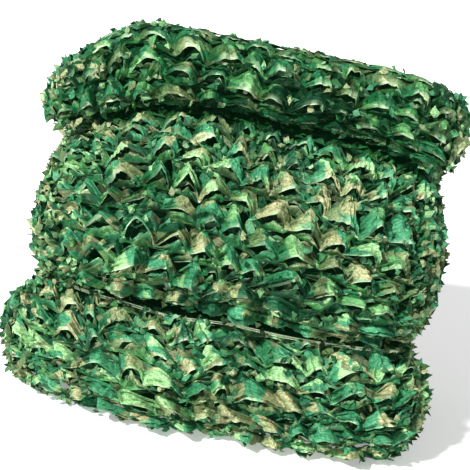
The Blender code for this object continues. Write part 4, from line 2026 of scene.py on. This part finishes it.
@dataclass
class LeafCover:
    """All the leaves: rows of cuts over the faces, finer ones round the rims, and their tips."""

    band: FoldedBand
    under_depth: float = -0.011
    rim_step: float = 0.008
    tips_round: int = 9
    flaps_each: int = 3
    flaps_kept: float = 0.70
    flap_lift: float = 0.006
    strays_each: float = 3.0

    def path(self, *numbers: int) -> tuple[PathPart, ...]:
        """Give whole stretches from top to bottom."""
        return tuple(PathPart(self.band.stretches[number], 1.0, 0.0) for number in numbers)

    @property
    def whole_path(self) -> tuple[PathPart, ...]:
        """The whole band, from its upper to its lower free end."""
        return self.path(*range(len(self.band.stretches) - 1, -1, -1))

    def regions(self) -> list[Region]:
        """List the regions of cut rows.

        Returns:
            The regions, front ones first.
        """
        face = CutStyle(lean=0.14, drift=-0.14, lip=0.58)
        slanting = CutStyle(
            row=0.042, stretch=1.0, hood=0.016, round=0.55, lip=0.66, eye_height=0.18, slit=0.19,
            slant=0.12, scatter=0.26, light=0.10, flat=0.5, drift=0.5,
        )
        upper = CutStyle(
            row=0.040, stretch=1.0, hood=0.016, round=0.35, lip=0.66, eye_width=0.38, slit=0.22,
            bunched=(0.24, 0.07), turn=0.36, curl=0.25, slope=0.46, pale=1.0, flat=0.85, one_sided=0.3,
            tongue_light=0.4, lean=0.12, drift=-0.10,
        )
        fine = CutStyle(
            pitch=0.034, row=0.034, hood=0.011, junction=-0.006, scatter=0.16, across=10,
            hood_lines=(0.0, 0.25, 0.5, 0.7, 0.88, 1.0), tongue_lines=(0.0, 0.3, 0.65, 1.0),
        )
        back = CutStyle(hood=0.013, stretch=1.0)
        end = CutStyle(row=0.030, hood=0.011, junction=-0.006, stretch=1.0)
        band = self.band
        bottom_fold = Patch(band, self.path(1), bare=(0.44, 0.76), shaded=(0.06, 2.0))
        middle_fold = Patch(band, self.path(5), shaded=(0.10, 0.90))
        top_fold = Patch(band, self.path(10, 9), calm=0.5, shaded=(-1.0, 0.94))
        lower_back = Patch(band, self.path(3), Side.INNER, shaded=(0.06, 0.94))
        upper_back = Patch(band, self.path(7), Side.INNER, shaded=(0.06, 0.94))
        low_end = FreeEndPatch(band, self.path(0), share=0.0)
        shelf = Patch(band, (PathPart(band.stretches[0], 0.24, 0.0),), Side.INNER)
        high_end = FreeEndPatch(band, self.path(len(band.stretches) - 1), share=1.0)
        return [
            Region("leaves_front_bottom", bottom_fold, slanting, 11),
            Region("leaves_front_middle", middle_fold, face, 12),
            Region("leaves_front_top", top_fold, upper, 13),
            Region("leaves_back_lower", lower_back, back, 14),
            Region("leaves_back_upper", upper_back, back, 15),
            Region("leaves_end_low", low_end, end, 18),
            Region("leaves_end_shelf", shelf, end, 20),
            Region("leaves_end_high", high_end, end, 19),
            Region("leaves_rim_left", RimPatch(band, self.whole_path, end=End.LEFT), fine, 16),
            Region("leaves_rim_right", RimPatch(band, self.whole_path, end=End.RIGHT), fine, 17),
        ]

    def under(self, style: CutStyle) -> CutStyle:
        """Give the style of the ply of leaves that shows through the cuts.

        Args:
            style: the style of the leaves above it.

        Returns:
            The style of the ply below.
        """
        return replace(
            style, pitch=0.047, row=0.040, hood=0.008, junction=-0.006, scatter=0.20, pleat=0.006, across=8,
            hood_lines=(0.0, 0.25, 0.5, 0.75, 0.90, 1.0), tongue_lines=(0.0, 0.3, 0.65, 1.0),
            depth=self.under_depth, ply=PrintShift.UNDER_LEAVES,
        )

    def flaps(self, rows: LeafRows, draw: np.random.Generator) -> LeafMesh:
        """Build small turned leaves that stand in the openings of a patch of rows.

        Args:
            rows: the rows.
            draw: the source of random values.

        Returns:
            The flaps' mesh.
        """
        shape = (rows.rows, rows.leaves, self.flaps_each)
        row = np.arange(rows.rows)[:, None, None]
        leaf = np.arange(rows.leaves)[None, :, None]
        place = (row + draw.uniform(0.76, 0.98, shape)).ravel()
        down = np.interp(place, np.arange(rows.rows + 1), rows.edges)
        over = (leaf + draw.uniform(0.25, 0.75, shape)).ravel() * rows.pitch
        inside = down < rows.patch.fall - END_MARGIN
        kept = inside & (draw.uniform(size=down.size) < self.flaps_kept)
        down, over = down[kept], over[kept]
        roots, outward = rows.patch.at(down, over)
        relief = rows.patch.relief(down, over)[:, None]
        upward = unit(rows.patch.at(down - END_MARGIN, over)[0] - roots)
        toward = upward + 0.35 * relief * outward + draw.normal(0.0, 0.35, roots.shape)
        style = TipStyle(length=0.014, width=0.010, spin=0.6, reverse=0.1, light=(0.2, 0.9))
        roots = roots + self.flap_lift * relief * outward
        # Painted shade in the creases.
        clean = rows.patch.clean(down, over)
        return LeafTips(style, draw).build(roots, toward, outward, clean, PrintShift.FLAPS)

    def strays(self, rows: LeafRows, draw: np.random.Generator) -> LeafMesh:
        """Build single leaves that lie turned every way over a patch, most of them near its ends.

        Args:
            rows: the rows.
            draw: the source of random values.

        Returns:
            The leaves' mesh.
        """
        patch = rows.patch
        count = int(rows.rows * rows.leaves * self.strays_each)
        down = draw.uniform(0.0, patch.fall - END_MARGIN, 3 * count)
        share = draw.uniform(0.0, 1.0, 3 * count)
        relief = patch.relief(down, share * patch.width)
        # Painted shade in the creases, where fewer leaves are kept too.
        clean = patch.clean(down, share * patch.width)
        likely = (0.55 + 3.5 * rows.bunching(share)) * mix(0.5, 1.0, relief) * clean / 4.0
        kept = draw.uniform(size=3 * count) < likely
        down, over, relief, clean = down[kept], share[kept] * patch.width, relief[kept, None], clean[kept]
        roots, outward = patch.at(down, over)
        fallen = unit(patch.at(down + END_MARGIN, over)[0] - roots)
        across = np.cross(outward, fallen)
        turn = draw.uniform(0.0, 2.0 * math.pi, (len(roots), 1))
        toward = np.cos(turn) * fallen + np.sin(turn) * across
        toward = toward + draw.uniform(0.1, 0.9, turn.shape) * relief * outward
        lift = draw.uniform(-0.002, 0.010, turn.shape) * relief
        style = TipStyle(spin=0.7, light=(0.2, 0.9))
        outward[..., 2] = np.maximum(outward[..., 2], 0.2 * outward[..., 2])
        roots = roots + lift * outward
        return LeafTips(style, draw).build(roots, toward, outward, clean, PrintShift.STRAYS)

    def rim_tips(self, end: End, seed: int) -> LeafMesh:
        """Build the leaf tips that stand out of one rim.

        Args:
            end: which rim.
            seed: the seed of the random values.

        Returns:
            The tips' mesh.
        """
        patch = RimPatch(self.band, self.whole_path, end=end)
        draw = np.random.default_rng(seed)
        count = int(patch.fall / self.rim_step) * self.tips_round
        down = draw.uniform(0.0, patch.fall - END_MARGIN, count)
        turn = draw.uniform(0.02, 0.98, count) * patch.width
        roots, outward = patch.at(down, turn)
        along = unit(patch.at(down + END_MARGIN, turn)[0] - roots)
        third = np.cross(outward, along)
        angle = draw.uniform(0.0, 2.0 * math.pi, (count, 1))
        splay = draw.uniform(0.3, 2.2, (count, 1))
        toward = outward + splay * (np.cos(angle) * along + np.sin(angle) * third)
        facing = outward + draw.normal(0.0, 0.5, roots.shape)
        tips = LeafTips(TipStyle(length=0.017), draw)
        return tips.build(roots, toward, facing, np.ones(count), PrintShift.TIPS)


@dataclass
class Studio:
    """Pale floor, soft light from the upper left, and the camera."""

    elevation: float = 20.0
    roll: float = 11.5
    frame_width: float = 0.858
    aim_x: float = -0.0090
    aim_height: float = 0.286
    lens: float = 180.0
    sensor: float = 36.0
    surroundings: float = 0.38
    floor_size: float = 30.0
    floor_tone: float = 0.92
    floor_glow: float = 0.3

    def camera(self) -> Piece:
        """Place the rolled camera so that the frame has its width at the bundle.

        Returns:
            The camera, set as the scene's.
        """
        tilt = math.radians(self.elevation)
        roll = math.radians(self.roll)
        forward = Vector((0.0, math.cos(tilt), -math.sin(tilt)))
        level_up = Vector((0.0, math.sin(tilt), math.cos(tilt)))
        level_right = Vector((1.0, 0.0, 0.0))
        right = math.cos(roll) * level_right + math.sin(roll) * level_up
        up = math.cos(roll) * level_up - math.sin(roll) * level_right
        aim = level_right * self.aim_x + level_up * self.aim_height
        data = bpy.data.cameras.new("camera")
        data.lens = self.lens
        data.sensor_width = self.sensor
        camera = linked_object("camera", data)
        distance = self.frame_width * self.lens / self.sensor
        turn = Matrix((right, up, -forward)).transposed()
        camera.matrix_world = Matrix.Translation(aim - forward * distance) @ turn.to_4x4()
        data.clip_end = 60.0
        bpy.context.scene.camera = camera
        return camera

    def lamp(self, name: str, toward: Vector, spread: float, power: float, colour: Triple) -> None:
        """Add a soft distant lamp that shines along a direction.

        Args:
            name: the lamp's name.
            toward: the way that it shines.
            spread: the angle in degrees that it fills.
            power: its strength.
            colour: its colour.
        """
        data = bpy.data.lights.new(name, "SUN")
        data.angle = math.radians(spread)
        data.energy = power
        data.color = colour
        lamp = linked_object(name, data)
        lamp.rotation_mode = "QUATERNION"
        lamp.rotation_quaternion = toward.to_track_quat("-Z", "Y")

    def lights(self) -> None:
        """Add the key and the fill light, and the pale surroundings."""
        key_way = Vector((0.55, 0.80, -0.76))
        fill_way = Vector((-0.4, 1.0, 0.15))
        self.lamp("key", key_way, spread=4.0, power=4.75, colour=(1.0, 1.0, 1.0))
        self.lamp("fill", fill_way, spread=40.0, power=1.25, colour=(0.97, 0.99, 1.0))
        world = bpy.data.worlds.new("surroundings")
        world.use_nodes = True
        background = world.node_tree.nodes["Background"]
        background.inputs["Color"].default_value = (1.0, 1.0, 1.0, 1.0)
        background.inputs["Strength"].default_value = self.surroundings
        bpy.context.scene.world = world

    def floor(self) -> Piece:
        """Add the plain pale floor.

        Returns:
            The floor.
        """
        half = self.floor_size / 2.0
        data = bpy.data.meshes.new("floor")
        corners = [(-half, -half, 0.0), (half, -half, 0.0), (half, half, 0.0), (-half, half, 0.0)]
        data.from_pydata(corners, [], [(0, 1, 2, 3)])
        material, _, shader = new_material("pale_floor")
        shader.inputs["Base Color"].default_value = (*[self.floor_tone] * 3, 1.0)
        shader.inputs["Roughness"].default_value = 0.9
        set_glow(shader, (1.0, 1.0, 1.0), self.floor_glow)
        data.materials.append(material)
        floor = linked_object("floor", data)
        return floor

    def build(self) -> None:
        """Set up the studio."""
        self.camera()
        self.lights()
        self.floor()
        view = bpy.context.scene.view_settings
        view.view_transform = "Standard"
        view.look = "Medium High Contrast"


def main() -> None:
    """Build the net's pieces in order."""
    logging.basicConfig(level=logging.INFO, format="%(name)s %(message)s")
    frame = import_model()
    Studio().build()
    band = FoldedBand()
    effects = ClothEffects()
    leaf_finish = LeafCloth().material("leaf_cloth", effects)
    # Darker copies of the leaf cloth: painted shade for the ply below and the net mesh, which lie in the
    # shade of the leaves, and for the mesh also its own dark green.
    shaded_under_finish = LeafCloth(
        ground=(0.030, 0.140, 0.072), light=(0.110, 0.260, 0.135), dark=(0.012, 0.080, 0.036),
        khaki=(0.190, 0.200, 0.110), brown=(0.080, 0.090, 0.050), hem_and_highlight=(0.300, 0.400, 0.240),
        roughness=0.8, gloss=0.2,
    ).material("under_cloth", effects)
    shaded_mesh_finish = LeafCloth(
        ground=(0.012, 0.070, 0.036), light=(0.020, 0.090, 0.045), dark=(0.008, 0.050, 0.028),
        khaki=(0.030, 0.070, 0.036), brown=(0.020, 0.055, 0.030), hem_and_highlight=(0.020, 0.080, 0.040),
        roughness=0.9, gloss=0.0,
    ).material("net_mesh", effects)
    cord_finish = CordFinish().material("edge_cord")

    cover = LeafCover(band)
    for region in cover.regions():
        draw = np.random.default_rng(region.seed)
        rows = LeafRows(region.patch, region.style, draw)
        top = rows.build()
        if not isinstance(region.patch, RimPatch):
            top = joined([top, cover.flaps(rows, draw), cover.strays(rows, draw)])
        settle(mesh_object(region.name, top, leaf_finish, LEAF_CREASE), "leaf_cloth")
        if not isinstance(region.patch, RimPatch):
            below = LeafRows(region.patch, cover.under(region.style), draw).build()
            name = region.name.replace("leaves", "under_leaves")
            settle(mesh_object(name, below, shaded_under_finish, UNDER_CREASE), "leaf_cloth")
    for end, seed in ((End.LEFT, 31), (End.RIGHT, 32)):
        tips = cover.rim_tips(end, seed)
        name = f"leaf_tips_{end.name.lower()}"
        settle(mesh_object(name, tips, leaf_finish, TIP_CREASE), "leaf_cloth")

    cord = EdgeCord()
    for node, name in ((CREASE_NODE, "cord_in_crease"), (SIDE_NODE, "cord_at_side")):
        made = cord.build(name, cord.route(node, frame), cord_finish)
        settle(made, "edge_cord", node)

    sheet = NetMesh(band)
    net = mesh_object("net_mesh", sheet.build(), shaded_mesh_finish, MESH_CREASE)
    net = settle(net, "leaf_cloth", NET_NODE)


if __name__ == "__main__":
    main()
